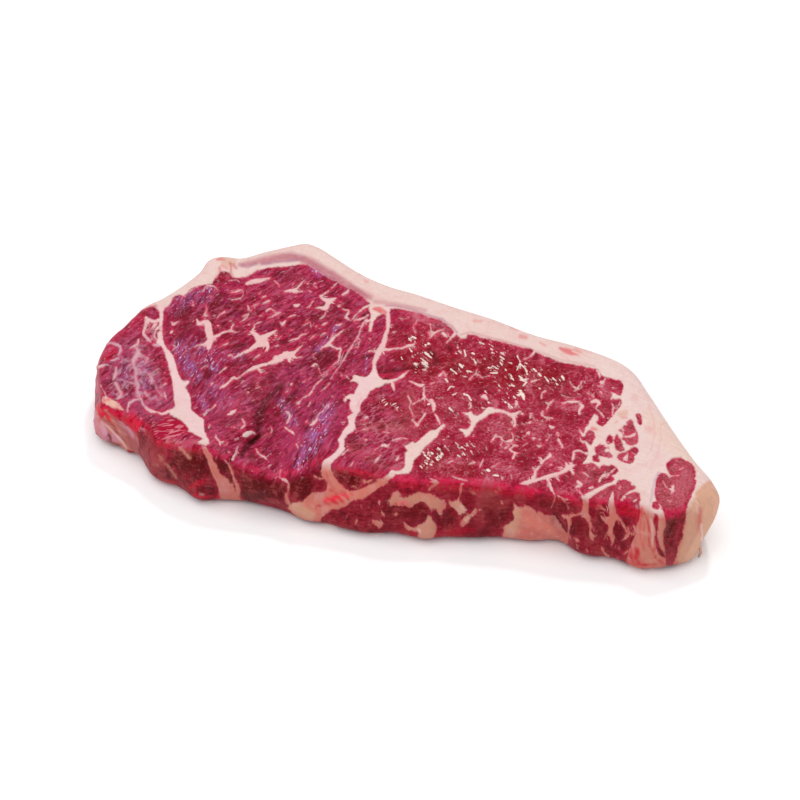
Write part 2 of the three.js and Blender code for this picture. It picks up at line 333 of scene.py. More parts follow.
class MeatMesh:
    """The vertices and faces of the steak, with the turn and the outward direction of each vertex."""

    def __init__(self):
        edge, foot, out = rim_lines()
        rings = side_rows(edge, foot, out)
        face = upper_face(rings[0][0])
        self.points = [face.reshape(-1, 3)]
        self.count = len(self.points[0])
        self.turns = [np.zeros(self.count)]
        self.outs = [np.zeros((self.count, 3))]
        self.faces = []
        ids = np.arange(self.count).reshape(STEPS_ACROSS + 1, STEPS_ALONG + 1)
        self.grid_faces(ids)
        ring = np.concatenate([ids[0, :-1], ids[:-1, -1], ids[-1, :0:-1], ids[:0:-1, 0]])
        for points, turn in rings[1:]:
            below = self.add(points, turn, out)
            self.band_faces(ring, below)
            ring = below
        self.lower_face(ring, rings[-1][0], out)
        self.hanging = self.strand(FAT_STRAND)
        self.points = centred(np.concatenate(self.points))
        self.turns = np.concatenate(self.turns)
        self.outs = np.concatenate(self.outs)

    def normals(self):
        """Where each vertex faces, before the fine relief."""
        facing = np.sin(self.turns)[:, None] * self.outs
        facing[:, 2] = np.cos(self.turns)
        return facing

    def add(self, points, turn, out):
        """Adds vertices and returns their numbers."""
        self.points.append(points)
        self.turns.append(np.full(len(points), turn))
        self.outs.append(out)
        self.count += len(points)
        return np.arange(self.count - len(points), self.count)

    def strand(self, line):
        """Adds a closed strand along a line of points, each with its radius, and returns its vertices."""
        rings = []
        for x, y, z, radius in line:
            turns = 2 * math.pi * np.arange(STRAND_SIDES) / STRAND_SIDES
            outward = np.column_stack([np.cos(turns), np.sin(turns), np.zeros(STRAND_SIDES)])
            rings.append(self.add([x, y, z] + outward * radius, math.pi / 2, outward))
        for above, below in zip(rings, rings[1:]):
            self.band_faces(above, below)
        self.faces.append(rings[0].tolist())
        self.faces.append(rings[-1][::-1].tolist())
        return np.concatenate(rings)

    def grid_faces(self, ids, flip=False):
        quads = np.stack([ids[:-1, :-1], ids[:-1, 1:], ids[1:, 1:], ids[1:, :-1]], axis=-1).reshape(-1, 4)
        self.faces.extend((quads[:, ::-1] if flip else quads).tolist())

    def band_faces(self, above, below):
        after_above, after_below = np.roll(above, -1), np.roll(below, -1)
        self.faces.extend(np.stack([above, below, after_below, after_above], axis=-1).tolist())

    def lower_face(self, ring, points, out):
        """The flat lower cut face: a ring with half as many points, then a grid inside it."""
        inner = points[::2] - out[::2] * LOWER_INSET
        coarse = self.add(inner, math.pi, out[::2])
        for k, corner in enumerate(coarse):
            after = coarse[(k + 1) % len(coarse)]
            a, b, c = ring[2 * k], ring[2 * k + 1], ring[(2 * k + 2) % len(ring)]
            self.faces.extend([[corner, a, b], [corner, b, after], [after, b, c]])
        along, across = STEPS_ALONG // 2, STEPS_ACROSS // 2
        grid = patch(inner, along, across, 1, 1)
        ids = np.empty((across + 1, along + 1), dtype=int)
        ids[0, :-1] = coarse[:along]
        ids[:-1, -1] = coarse[along : along + across]
        ids[-1, :0:-1] = coarse[along + across : 2 * along + across]
        ids[:0:-1, 0] = coarse[2 * along + across :]
        core = grid[1:-1, 1:-1].reshape(-1, 3)
        ids[1:-1, 1:-1] = self.add(core, math.pi, np.zeros((len(core), 3))).reshape(across - 1, along - 1)
        self.grid_faces(ids, flip=True)


# -------------------------------------------------------------------------------------------------------
# The pattern, in the photograph's pixels
# -------------------------------------------------------------------------------------------------------
# Each entry of a block is one line, and a line that starts with spaces goes on from the line above it.

# Outlines of the wide fat: one closed outline an entry, x,y of each corner
FAT_PATCHES = """
159.5,303 162.5,303 162.5,318 162,328 162.2,335 163,340 164.5,345 167,349 170,351.5 173,356 174.3,361
    175.8,366 177,371 179.5,376 181,380 184,382 189,380.5 190,382 186.5,385.5 185,388 187,391 189,394
    190.5,398 190.5,404 191,410 195,413.5 199,416.5 203.5,420 203.3,425 204,431 206.5,437 208,439 209.5,442
    208,444.5 203,445 196,443.5 203,439 197,435 192,432.5 188,431.5 189,429 185.5,424 181,420 176,417.5
    170,415 172,410 175.5,406 174.5,402 174,396 173.5,390 172.5,383 171.5,377 170,371 168.5,366 167.5,361
    166,355 163,349 160,345 156.5,343 158,338 157.5,333 160,331 159.5,326 159.5,316
373,368 375.5,368 377,372 379,377 383,380.5 390,380.5 397,378.5 403,374.5 409,371 403,377 397,380.5
    391.5,383 386,384 382,385.5 377,387.5 373,389 370,391.5 368,395 365,398.5 362,402 360,407 360,411
    357,414.5 355.5,419 354.5,424 355,428 353,431 349,433 346,436 344.5,440 344,445 345,449 342,453 339,456
    336,459 333,462 331,465 331,470 332.5,475 337,481 342,485.5 347,489.5 352,491.5 358,490 364,487
    370,484.5 376,481.5 383,478 388,475 391,471 396,474 392,478 386,483 379,487.5 372,492 366,497 360,498.5
    354,499.5 349,503 344,506 338,508.5 331,509 326,512 322,517 320,521 312,521 304,520 297,517 292,512
    288,508.5 289,504.5 295,503 302,501 307,497 312,493 319,492 325,491 328,488 327.5,483 325,478 321.5,476
    322,470 322,463 326,460 331,456 336,452 339,447 339.5,443 338,440 341,436 343,432 346,428.5 349,425
    348,420 347.5,417 350,415 353,413 350,409 350,405 351,401 350,398.5 347,399 345.5,402 344,400 346,397
    350,394.5 354,394.5 356,391 358,388 359.5,385 358,382.5 354,381 350.5,381.5 353,378.5 352.5,376
    355,374.5 359,376.5 363,377.5 367,377 370,374.5 372,371
500,411.5 495,410 492,408 489,407.5 486,409 484,412 481,415 477,416.5 474,416 472,414 471,411.5 469,412.5
    466,413.5 465,414.5 468,416 470,419 471.5,422 471,425.5 469,428.5 465,429.5 459,428.5 463,432 464,435
    466,437 469,435 470,433 473,430.5 474.5,427 475.5,424 478,421.5 482,419 486,416.5 488,414.5 492,413
    497,412.5
404,446 408,445 411,442.5 413,441.5 415,443.5 418,442 422,438.5 427,434 432,430.5 437,429.5 440,426.5
    444,424 445.5,426 443,428 440,430 438.5,433 437,436 434,438.5 431,441.5 428,444 425,446.5 422,449.5
    421,452 419,455 416,458 413,461 412,467 409,473 392,475 391,470.5 395,471.5 401,470.5 404,468 405,464.5
    405,456 405.5,453 408,451 407,449
162,313 164,308 169,305 172,300 175,296 180,294.5 184,296 187,293 191,289 197,286 205,284.5 211.5,284
    213.5,279 218,276 220,271 226,271 230,273 232,277 237,278 245,276.5 253,273 257,270.5 262,269.5
    268,267.5 275,267 283,266.5 290,265.5 297,264.5 303,264 308,264.5 313,267.5 318,271 324,275 330,278.5
    337,281.5 343,285 348,288.5 354,290.5 360,294.5 366,299 369,303 376,305.5 383,306.5 390,308.5 396,308.5
    401,309 405,310 412,311.5 420,313 430,317 440,320 447,324 452,329 455,333 457,335 460,338 466,338.5
    467,334.5 470,334 476,335 483,338 490,339 499,341 505,342.5 511,344.5 517,346 525,348 533,349.5 536,352
    541,354 546,356 551,358.5 556,360.5 561,362 566,363.5 573,364.5 580,365.5 590,367.5 598,369.5 600,372
    602,375 606,377.5 611,378 615,379.5 620,380 622,382 623.8,385 623.5,389 622,394 621,396.5 617,395
    613,393 610.5,392.5 612.5,396 611,399 615,398.7 620,398.5 622,400.5 622,403 620.5,407 617,411.5 613,416
    610,419.5 606,424 603,427 600,426 597,423.5 596.3,422 598,419.5 598.5,417 596.5,416 594.5,414.5 593,417
    591.5,420 589,421.5 589.5,424 587,427 585,429.5 584,433 582.5,434 581,431 579.5,429.5 580.5,433
    582.5,436.5 584.5,436 586.5,432.5 588,430.5 590,430 593.5,431.5 595,434 595.5,437 594,440.5 592.5,444
    591,446 589.5,445 586.5,442 584.5,441.5 586,444.5 587.8,447.5 588.5,450.5 588.3,454 587,458 585,461
    583,463.2 586,463.6 590,463 594,463.5 597,465.5 599,468 600.5,466 604,464.5 607,465.5 611,464.5 615,466
    618,469 618.8,471.5 616,474 612.5,476 614.5,478 614.8,480.3 611,482.5 605,485 600,487.5 594,490 588,493
    582,496 579,497.5 584,499.5 588,499 592,496.5 597,493 603,489.5 608,486 612,484.6 615,484.8 617,481
    620,479.5 624,479.2 628,480.5 631,482.5 631.2,484.8 634,485.6 636.3,487 635.8,489 632,491 629,491.8
    625,494.3 622,497.5 620.5,500.5 622,501 624.5,498 626.5,495 630,493 634,492 638,492 640.3,493.5
    640.5,497 641.5,500 640,502 640,515 639.5,522 636.5,528 634.5,536 632,544 629,552 627,560 627,580
    740,580 740,380 600,280 300,180 120,240 150,300 157,309
101,398 106,396 112,400 117,402 121,407 124,411 119,409 113,406.5 107,404 103,402
107,408 112,414 118,419 126,423 132,428 136,434 138,442 139,450 140,460 134,458 128,448 124,443 119,436
    112,429 105,424 100,420 104,417 107,413
92,413 96,409 99,415 103,419.5 109,424 115,430 121,437 127,444 130,450 124,449 118,449 108,447 103,443
    97,436 92,424
513,503 515,508 514,513 516,517 513,521 508,524 502,527 505,530 502,534 502,537.5 503,545 567,545 569,539
    566,534.5 563,531 560,527 557,523 554,519 549,516 543,514 537,511.5 533,509 529,507 525,505.5 523,505
    524,507.5 520,507.5 517,506
205,446 208,451 212,457 215,463 218,469 221,474 226,479 231,484 236,490 241,500 241,508 220,508 221,498
    219,488 216,481 212,473 209,466 207,459 204,452 202,448
370,303 378,304 390,308.5 390,312 386,314.5 381,314 376.5,317 373.5,322 370.5,331.5 368.5,331 370.5,322
    371,314 369,308
384,501 389,499 391,496 393,492.5 396.5,490.5 399.5,492 400,495 403,496 408,495.5 413,494 418,492 423,493
    430,494 436,496 440,499 445,501 446,504 445,509 442,510 441,515 438,514 437,509 434,508 432,511 430,508
    428,504 425,500.5 421,500 418,502 414,503 412,506 409,507 404,506 398,506 394,504 392,507 390,505
    390,502
448.5,500 451,503 454,501 458,500 461,503 464,507 467,510.5 465,512.5 461.5,514 459,514.5 458,512.5
    457.5,509 455,509 452,507 450,504
476.5,509.5 475.5,513 471.5,517.5 467.5,521.5 463,525.5 460.5,525.5 460,523 462,520 466,517.5 469,515.5
    472,512.5
404,522 408,526 412,528 416,528 418,526 421,524 425,522 427,519 429,516 432,516 433,519 435,523 436,528
    435,533 433,538 428,540 421,540 418,535 418,531 414,531 409,530 405,527
"""

# Outlines of lean that lies in the wide fat
LEAN_ISLANDS = """
635.5,413 640,413.5 642,416 642.5,421 642.5,424 641,426 639,425.5 637.5,422.5 636.5,419 635,415.5
625.5,422 630,418.8 632.5,420.5 634,425 637,431 638.2,436 638.5,441 637,444.3 632,445.8 628,446 625.5,444
    624.5,441.5 621.5,439 622,437.5 623,435 621.5,432.5 618.8,431 619,429.5 621.5,429 623.5,432 624,430.5
    621.5,427 623,425.5 627,424.5
607.5,435.5 610,434.5 612,436 613,438 613.5,440.5 612.5,443 610,444.8 607,444.5 605.3,442 605.5,440
    606.5,437.5
613.5,441 613,438 615,436.5 616,434.2 618,434.8 619,438 621,438.5 622.5,442 623.5,446 625.5,449.5 624,451.3
    620,452 616,450.5 614.5,446.5
616.5,456 618.5,453.5 622,452.5 626,451.5 631,447.5 636,446.3 638.5,448.5 638.5,451.5 637,454.5 635,456
    634.5,459.5 633,462.5 630,464 626,463.8 621,461.5 617.5,459
597,446 600,444.3 604,445.5 606,447 610,447.5 609.5,448.5 606,449.5 604.5,450.5 606,452.5 609,451.2
    611.5,453 613.5,455.5 613.5,457.5 610,458.5 605,458 601,457 599.5,456.5 598.5,458.5 600,460.5
    600.5,462.5 597,462.7 593.5,462 591.5,460 592,457 594,455.5 596,455 595,452.5 593.5,449.5 594.5,447.5
665.5,465 667,462 670,459.5 674,457.5 681,457 684,459 688,461 692,464 694.5,468 696,472 696,476 695,478.5
    696.5,481 695.5,486 694.5,491 692,495 690.5,499 689,503 687.5,508 686,515 685,523 683,535 679,547
    673.5,566 665,566 665.5,555 665,549 662,541 663,534 665,526 664.5,518 663.5,513.5 662,510 660,507
    659,509 657,509.5 653,509 652,507 652,502.5 654,501 656,500.5 654.5,497 654.5,491 655,485 656,480
    657.5,476 659.5,473 662,472.5 666,474 670,477.5 671,477 669,474 667.5,470.5 666,468
652.5,515 655.5,513 658.5,514.5 659.5,519 658.5,524 658,530 657.5,536 659,542 660.5,548 664,553 667,558
    664,560 660,555 656.5,550 654.5,544 654,538 655.5,531 654.5,525 652.5,520
314,480 318,480.5 322,483 323,488 321,491 317,490 315,485
"""

# Marbling, thin seams and small fat, one route an entry: x,y,width of each point
FAT_ROUTES = """
139,339,1.5 138,344,3 137,348,2 139,353,4 136,357,5.5 133.5,361,5 134,366,3 136.5,370,4.5 135.5,375,3
    136,380,3 138.5,385,4 137,390,3 139,395,2 141.5,400,2.5 143,405,1.8 147,409,2.5 152,412,3.5
    157,412.5,1.8 162,414.5,2.5 168,412,4 173,411,5
153,345,2 161,345,4
137,384,2.5 132,383,2 126,381.5,1
138,344.5,3 133,347,2.2 129.5,348.5,1.2
134,364,2.5 128,367,1.5
141,354,1.5 145,358,1.5 149,357,1
145,392,2.5 147,396,2.5 150,394,1.5
143,371,1.5 149,374.5,2 154,372,1.8 159,368.5,1.5
150,376,3 152.5,380,3.5 151,384,2.5
155,384,1.5 158,391,1.2 162,396,1
160,388,1.5 166,383,1.5
164,392,2 167,400,1.2
146,361,2.5 148,358.5,3
116.5,368,3 116,373,3.8 114,378,3 113,380,1.5
115,382,2 117,387,3 119,391,2.5 121.5,394,3.2 119,398,2 116,399.5,1.2
111,361,2 115,359.5,2.5 119,358,2
105,344.5,1.5 111,343.5,2.5 117,345,3 120.5,348,3.2 120.5,352,2.8 118,355,1.8
96,367,3.5 101,366.5,3 106,365,2 112,366.5,1
101,385,1 106,396,1.5
128,409,1.5 128.5,404,2.5 134,400.5,2.5 141,399,2.5
127,411,1.5 129,413,1.5
246,284,3 252,282,4 258,281,5 264,280,3.5 270,278.5,1.5
228,282,1.5 230,280.5,1 237,280,1 239,282,1
189,293,1.2 193,288.5,1.2 198,287,1
202,293,.8 204,288.5,1.2 208,285.5,1.8 213,286.5,1.5 217,290,1
228,299,.8 234,300,1.2 240,299,1.8 243,295,1 242.5,290,.8
231,293,1 236,292,1.5 240,290.5,2
211.5,297,1.5 212.5,297,1.5
192,306,1.5 194,304,1.5
202,317,1 205,314,1.8 207,310,1.2 206,306,.8
205,316.5,2 209,315,1
196,319,1.5 198,322,3.5 199,325,3.5 203,323,3 205,321,3
207.5,322,6 208,328,8 209,334,7 211,339,7 209,344,7 208.5,349,4
213,338,4 218,336,2.5 223,332,2 229,331,2 233,332,2 236,333,1.2
231,331,1.5 232,326,1.5 234,323.5,1
207,343,4 202,345,2 197,346,1.5 194,348,1
171,321.5,1 173,325,2.5 176,323,2 180,321,1
171,333,2.5 173,331,2
173,345,1.5 176,347,1.2 172,351,1.5
217,318,1 219,315,1.5 223,313,1.5 225,311,1.8
229,322,1 232,320,1.2
217.5,325.5,2 218.5,325.5,2
243,317,1 249,312,1 252,310,.8
240,322,1 244,320,2 247,317,1.5 249,313,1.2
248,306,1.5 249,309,2 250,311,1
262,304,1 266,303,2.2 270,301,2
253,306,.8 259,303,.8
261,298,1 266,296,1.5
258,294,.8 262,291,.8
266,311.5,2 269,309.5,2.5 271,309,1.5 275,312,1
259,316,1.2 262,315.5,1.5
254,326,1 258,323,1.8 261,322,1.2
248.5,325,1.5 249.5,325,1.5
250,332,1.5 253,333,4 256,336,5 260,340,8 262,342,9 258,345,7 254,347,5 250,350,3.5 245,352,2.8 240,355,2.5
    236,357,2 232,359,1
260,340,8 266,337,6 270,334,4 274,332,2.5 277,329.5,1.5
265,342,6 268,346,5 268,349,3.5 265,352,1.2
253,333,3 253,329,1.8 255,327,1.2
248,335,1 252,334,2
280,323,1.5 283,325,3 284,323,3 286,321,1.5
220,389,1.5 222,387,2.5 227,384,2.8 231,380,2 234,377.5,1.8 237,379.5,1.8 241,376,1.5 245,372.5,1.2
    249,370,2.5 253,368.5,4 258,367,4 262,365.5,4 268,364,2.5 273,362.5,4 278,360,6.5 284,356.5,7
    289,354.5,8 293,354,6 296,351,2.5 299,348,1.8 303,345,1
289,358,5 289.5,362,2.5 291,363,1
293,357,4 297,358.5,1.5 302,357,1.5
258,369,2 261,373,1.8 265,371,1
274,358,2 277,356,2
221,346,1 225,345,1.8 229,343,1
219,374,1 223,370,1.5 226,367.5,2
201,369,1 208,364.5,.8
228,356,1 232,355,1.2
211,385,1.8 213,382.5,1.5
253,360,1.2 258,356,1.8 261,354.5,1
275.5,336,2 276.5,336,2
275,346.5,1.2 278,346,1.5
289,342,.8 294,339.5,2 298,339,2 301,335.5,1.5 307,334,1.5
273,340,1 278,340,1 281,337,1
288,318,1 293,315.5,1.8 296,314.5,1.2
267,318.5,1 272,317,1.5 277,313.5,2 281,313,1.2
290.5,330,1.2 291.5,330,1.2
256.5,383,1.5 257.5,383,1.5
249,393,1.8 247,392,1
256,389,.8 260,387,1
292,384,2.2 290,386,1.5
288,391,1.5 286,393,1.5
280,402,1 285,400,1
298,404,2.5 301,402,1.5
276.5,406,1.5 277.5,406,1.5
284.5,407,1.5 285.5,407,1.5
303,383,1 307,380,1
274,281,1.2 277,283,1.8 279,286,1
292,285,1.2 294,283,1.2
284,291.5,1.5 288,291,2.5 293,291,4 297,288.5,2.5 300,285,2 303,282,1.5 305,280.5,1
293,292,3 303,291.5,1.5
306,285,1 309,283.5,1.2
313,285,1.2 316,283.5,1.5
315.5,287,1.5 316.5,287,1.5
331,289,1 334,285.5,1.5 338,282,1
342,295,2 345,293.5,3 348,291.5,2.5 350,288,1.2
309,291,1 311,292,1.5
320,297,2.5 323,295,2 326,292.5,1.5 329,290.5,1
321,298,2.5 325,300,4.5 330,301,5 334,299.5,3 337,298.5,1.2
329,302,6 327,306,5 325,309,4 321,308,3 316,308,1.8
307,308,1 310,306,1.5 313,301,1
294,305.5,2.5 297,306.5,3.5 300,304.5,1.5
306,321,1 309,319,1
303,326,1 307,324,1.2 310,322.5,1 311,328,1
320,319,1 323,317.5,1.8 325,315,1.2 326,311,.8
321,325.5,1 324,324.5,2 328,322.5,1.5
315,327,1.8 317,326,1.5
336,325,1.5 342,324.5,2
338,306,2 341,307,1
340.5,302.5,1.8 341.5,302.5,1.8
343,309,1 347,310.5,1.5 350,311.5,1.2
349,312,1.8 347,315,2.5 345,317.5,2.8 348,319.5,1.8 351,321,1
353,319,1.5 356,315,1.5 359,311.5,1.8 363,308.5,2 370,305,2.5
354,320.5,1.5 360,319.5,2 365,317.5,2 368,315,1.5
326,276,1 329,277,2
314.5,268.5,1.5 315.5,268.5,1.5
321.5,273,1.2 322.5,273,1.2
270,267,2.5 280,264.5,3 290,263.5,3.5 296,262,4.5 302,262,4 308,263,2 313,265,1.5
371,330,1.8 369,333,1
366,321,2.5 374,320,2.5
377,306,6 384,307,6 388,309,4
388,308,5 388,315,4.5 388.5,322,4.5 388,328,4 386,334,4 385,340,4.5 383,345,5.5 380,350,6.5 377.5,355,6
    375.5,360,4.5 374,365,3.5 374,370,4 374,374,7
388,328,2 393,324.5,.8
367,319,2 364,322,1.8 361,328,1.8 359,334,1.8 357,338,1.8 354,343,1.8 350,349,1.8 347,354,2 344,359,1.8
    340,366,1.5 336,371,1.3 330,380,1
358,338,1.5 360,340,1.2 357,348,1
384,350,4 392,349,2.2 398,348.5,1.8 403,348,1.8 406,346.5,3 413,345.5,3 415,343.5,1.5
412,345.5,2.5 415,348,1
320,350,1.2 324,347,2.5 328,345,4 331,341.5,3.5 334,338,2.5 338,334.5,2.2 342,331,1.5 344,329,1
330,345,3 334,347,2 338,349,2.5 341,348,2.5 340,352,2 339,357,2.5 338.5,361,1.8 333,365,1 330,368,.8
331,342,2 333,334,1.2
311,367,1 314,365,3 316,363.5,1.5 318,366,1 321,374,1
322,376,1 326,372.5,1.2 329,370,1
305,382,.8 311,378,.8
300.5,374,1.2 301.5,374,1.2
313,355,.8 317,352.5,1
310,339,1 313,336.5,1.5 316,334,1
320,336,1 323,334,1.8 326,332,1.2
340,373,1 342,376.5,1.2
346,376,1.5 349,378.5,1.2
307,396,1 310,394,2.5 314,387,1.5 317,384,1.8 320,381,1.5 325,377,1 329,374,.8
320,392,1.2 324,389,1.5 327,387,1.2 330,383,1
368,352,1.5 371,350.5,1.2 376,352,1.5
365.5,344,1 366.5,344,1
369,339,1 371,341,1
204,416,2 208,411,1.8 212,409,1.2 215,405,1.8
227,414.5,1.5 230,414,4 234,411.5,3.5 236,410,1.5
242,419,1 243.5,422,1.8 245,424.5,1.8 242,428,1.8 240,430,1
231,428,1 235,427.5,1.2
244,436,4.5 248,434,5 252,431.5,3.5 255,433,2
216,434,1 216,438,2 218,440,1.2 220,443,2.2 220.5,446,1.5
220,443,1.5 224,441.5,1
228,443,1.2 226,445.5,1
210,425,2 208,428,1.2
238,446,1 237,449,1
228.5,452,1.5 229.5,452,1.5
236,451,2 239,453.5,1
236,453,2 234,457,2 232.5,461,2.5
256,449,1 258,453,1.5 261,456,2 264,457,2 267,459.5,1.2
271,427,1 272,430,1.5 271,433,1.2
285,411.5,1.5 288,413,2.5 290,416,2.5 289,420,2 286.5,424,1.5
285,428,2 288,430.5,1.8 291,432,2.2 294,434,2.5 293,435,1
296,444,1.5 298,448,1.5
268,467,1 272,464.5,1.5
281,470,1.5 280,474,1.5
296,404,1.2 299,402,2 301,400.5,1.2
302,399,1 310,394,1.5
308,407,.8 310,405,1.2 311,401,1
306,423,1 308,420,1.2
324,408.5,1.5 327,406,1.8 330,403.5,1.2
315,421,1 317,418,1.5 320,413,1.2 323,411,1
310,426,1.5 313,424,3 316,421,2.5 318,418,1.5
332.5,396,1.2 333.5,396,1.2
343.5,395,1.2 344.5,395,1.2
341,423,1 345,422.5,1.5
349,449,1 346,452,1.5 342,455,2
399,318,1 402,319,1.5 406,318.5,1 409,317,1
393,332.5,1.5 396,332,1
391,361,1.2 394,360,1
391,381,2 393,386,3 394,391.5,1.5
417,320,1.2 416,323,1.5 413.5,326,1 414,330,1 416,333,1.2
432,333.5,3 435,333,2.5 438,331,2 442,330,1.5 444,328.5,1
431,333,2 431,329,1.2 430,324,.8
433,335,2 430,338,1.5 428,339,1
431,335,1 427,332,.8
455,334,3 451,338,2.5 448,342,1.5 445,345,1
443,333,3 446,336,2.5 448,338,1.5
432,400,3 434,405,4 433.5,411,2.5
452,476,1.5 458,478.5,2 463,480,2 468,481,1
430,478,1 436,481,2.5
439,377,2 442,374,2.5 443.5,371,1.5 446,377,1.5
477,370,1.2 476,374,1.8 472,377,1.5 469,380,1.5
476,374,1.5 480,376,1 482,378,1.2 490,376,.8
409,381,.8 413,383,1.5 417,385,3 421,386,3.5 424,384.5,2
424,387,1.5 424,391,1.8 424,395,2.5 425,398,3 422,399.5,2 420,401,1
426,399,2 429,401,1.5 432,403,3
435,414,1.5 437,417,2.5 438.5,421,2.2 440,424.5,1.2
412,420,2 415,423,1.8 416.5,426.5,2.5 419,423,1.8 422,419,1.8 424,416,2.2 425.5,413,1.8
416,417,1 413,420,1
408,396,1.5 411,402,2 409,407,1.5 411,411,1.5 413,417,1.2
413,405,2 419,401,1.2
430,384,1.5 435,382.5,1.2
481,397,2 485,396.5,4 487.5,399.5,2
457,416,1 456,418,1.5
463,413,1 466,413.5,1.5
468,405,1.5 470,403,2 471,407,2 468,409,1.2
447.5,436.5,2 448.5,436.5,2
443.5,439.5,1.5 444.5,439.5,1.5
472.5,436.5,1.5 473.5,436.5,1.5
445,446,2 446,448,1.5
448,463,2 453,461,1.5
468,465,1 472,463,2 476,462.5,1.5
480,467,1 482,462,2 483,459,1
491,442,1.2 493,439,2 495,436,1.5 496.5,434,1
486,447,1.5 486.5,450,1
382,446,2.5 385,445,3.5 387,447,2 390,444,1.2
373,452,.8 381,447,1
374,463,1 377,460,2.5 379,457,1.5 381,455,1
395,461,2 397,459.5,2 399,457,1
143,308,3.5 150,304.5,4 158,304,4
146,317,3 147,321,4.5 145,327,2.5 143.5,333,3.5 146,337,2.5 149,340,4 151,342,2
147,319,4.5 151,321,4 155,322,3 159,320,4
155,324,3 153,328,2 150,331,1.5
159,327,3 155.5,331,2 154,336,2 156.5,340,2
354,461,1 352,464,1.5 349,467,1
365,417,2 368,417,2.2 364,420,1.5
362,430,1 367,429,1
382,432,1 389,433,1
365,441,1.5 367,440,1.2
382,421,.8 389,428,.8
392,441,1.2 403,438,1.2 408,439,1
494,410,3 502,411.5,3 507,413,3 512,415.5,4 517,413.5,3 521,411,1.5
482,407,2 485,408,1.5
513,415,5 514.5,420,3.5 515,424,2.5 513.5,427,2.5
512,423,2.5 511,421,1
535,351.5,3 532,355,2 528,357.5,1.5 523,359,1.2
531,382,1.5 536,380.5,2.2 540,380,1.2
516,401,2 517,404,3 515,407,1.5
498.5,390.5,2 499.5,390.5,2
569,381,.8 572,385,1.2 575,388,2 577,390,2.2 574,391,1.2
577,389,1.5 580,385,1.5 582,381,1
561,395,1 565,396.5,1.2 575,398,.8
585,392,.8 594,398,.8
541,399,1 542,394,2 546,391,1.5
545,402,1 548,404,2.2 551,402.5,2 554,400.5,1
548.5,405,2 547.5,408,1.5 546,410,1
561,403,1.5 564,403.5,2.5 568,402,2.5 572,402.5,2.5 577,402,2 581,401,1.5
579,404,2.5 583,406,3 581,409,3.5 579,412,3 580,415,2
591,402,3 596,401,4.5 600,403,3 597,406,2 596,409,1.2
596,409,1.2 601,413.5,1.8 604,417,1.8
522,414,2.5 523,414,2.5
530,414,2.5 533,414,1.5
530,414,2 530.5,418,1.8
529,423,2.5 531,421,1.2
537,420,1.2 538,421,1.2
539.5,424.5,1.5 542,424,1
541,414,2 543,411,1.5
541,414,2 543,416,1.5 546,418,2 548,417,1.5 547,420,1.5 546,421.5,.8
549,418,1.8 553,418,1.2
549.5,426,2 551.5,428,4 555,427.5,1.5
547,433,1.2 549,435,1 549,438,1 546,441,1
556,434.5,1 557,433,1.5 559,434,2 558,436.5,1.2
558,438,1.5 558.5,440,2.5 560,443,1.8 562,446,2 562.5,448,2.5
533,438.5,2.5 536,438,1.2
539.5,439.5,1.8 541,440,1.2
527,434,2.5 530,432,1.5 529,435,2
526,436,1.5 524,437,1
537,445,1.5 539,446.5,2.5 543,445.5,1.2
523,446.5,1.8 526,444,1.5 528,443,.8
518,446,1.2 514,445,1.5 512,448,1.5 509.5,450,2 512,452,2.5 515,453,2.5 514,456,2.5 512.5,459,2
515,453,2 518,453.5,1.5
505,448.5,1.8 508.5,445.5,1
496,437,1.5 500.5,437,2.2 502,440,2 505,441.5,2 509,441.5,2.5 512,440.5,2.5 513.5,439,1.8 513,435,1.5
    512,433,1
510,441.5,2 510,443.5,1
500.5,444.5,1.8 501.5,444.5,1.8
492,467.5,1.8 499,463,.8
501,476,2 502,480,1.5 503,477,1
511,475,1.5 512,479,1
507,468.5,.8 511,466,1
540.5,463.5,3.5 545,460,2.5 548,457.5,3 550,456,5 550,453,2
551,457,2 554,458,1
538,458,1.5 540.5,458.5,2.5 541,461,2
540,466,1.5 537,469,2.5 535,472,2.5 535,476,3.5 532.5,479,4.5
532.5,467,1.2 533,470,1.5 535,472,1.8
520,483.5,1.5 524,483,3.5 528,482.5,5.5 533,481,4.5 538,480,3.5 543,478,4 548,476.5,4 553,475.5,4
    557,474.5,3.5 561,473,3 565,470.5,4.5 568,468.5,6 571,467,6 574,465.5,2.5 575.5,465,1
566,463,2 568,467,4
572,463,2 571,467,4
571,470,4 573,474,2.5 574,475.5,1
547,479,3 549,483,2.5 550,487,3 551.5,490,3 553,492,2
549,485.5,2 547,487,1.5
556,477,2 559,480.5,1.5 560,481.5,.8
550.5,465,2 551.5,465,2
558,468,1.2 562,467.5,2
573,452.5,2.5 576,451,2 580,450.5,2 582,452,2 585,453,2.5 588,453.5,3
573,453,2 574,456,2.5 572.5,459.5,2.5
580,438,1.2 581,441,2 584,443,2.5
612,403,1.5 613.5,407,2 613,411,1.5 612,414,2 612.5,416,1.5
620,401,.8 619,405,1.2 616,409,1
607.5,418,1.2 608.5,418,1.2
601,381,2 602,383,3.5 605,380,1.5 606,377.5,1.5
597,370,2 599,373,3 600,377,2
612.5,388,2 613.5,388,2
600,391,1.5 602,394,1.5
588,391,.8 592,394,1 594,397,.8
598,386,1 603,386,1
635,433.5,2 633,435.5,3 630,437,2.5 626.5,437,2 624,436.5,1.5 621,437.5,1.2
620.5,427.5,.8 623,431,1.2 624,434,1.5
613.5,438,2 614.5,438,2
607.5,442.5,1.5 608.5,442.5,1.5
628,452.5,1 627.5,455,2 626.5,457.5,3.5 624,459.5,3 627,461,2
636,454.5,1.2 632,452.5,1.2
599,482,2.5 601,478,2.5 604,475.5,2.5 606,471.5,1.2
606.5,478,1.5 609,474.5,2 612,471.5,2 615,469.5,1
582,472,1 586,474,1.5 588,477,1
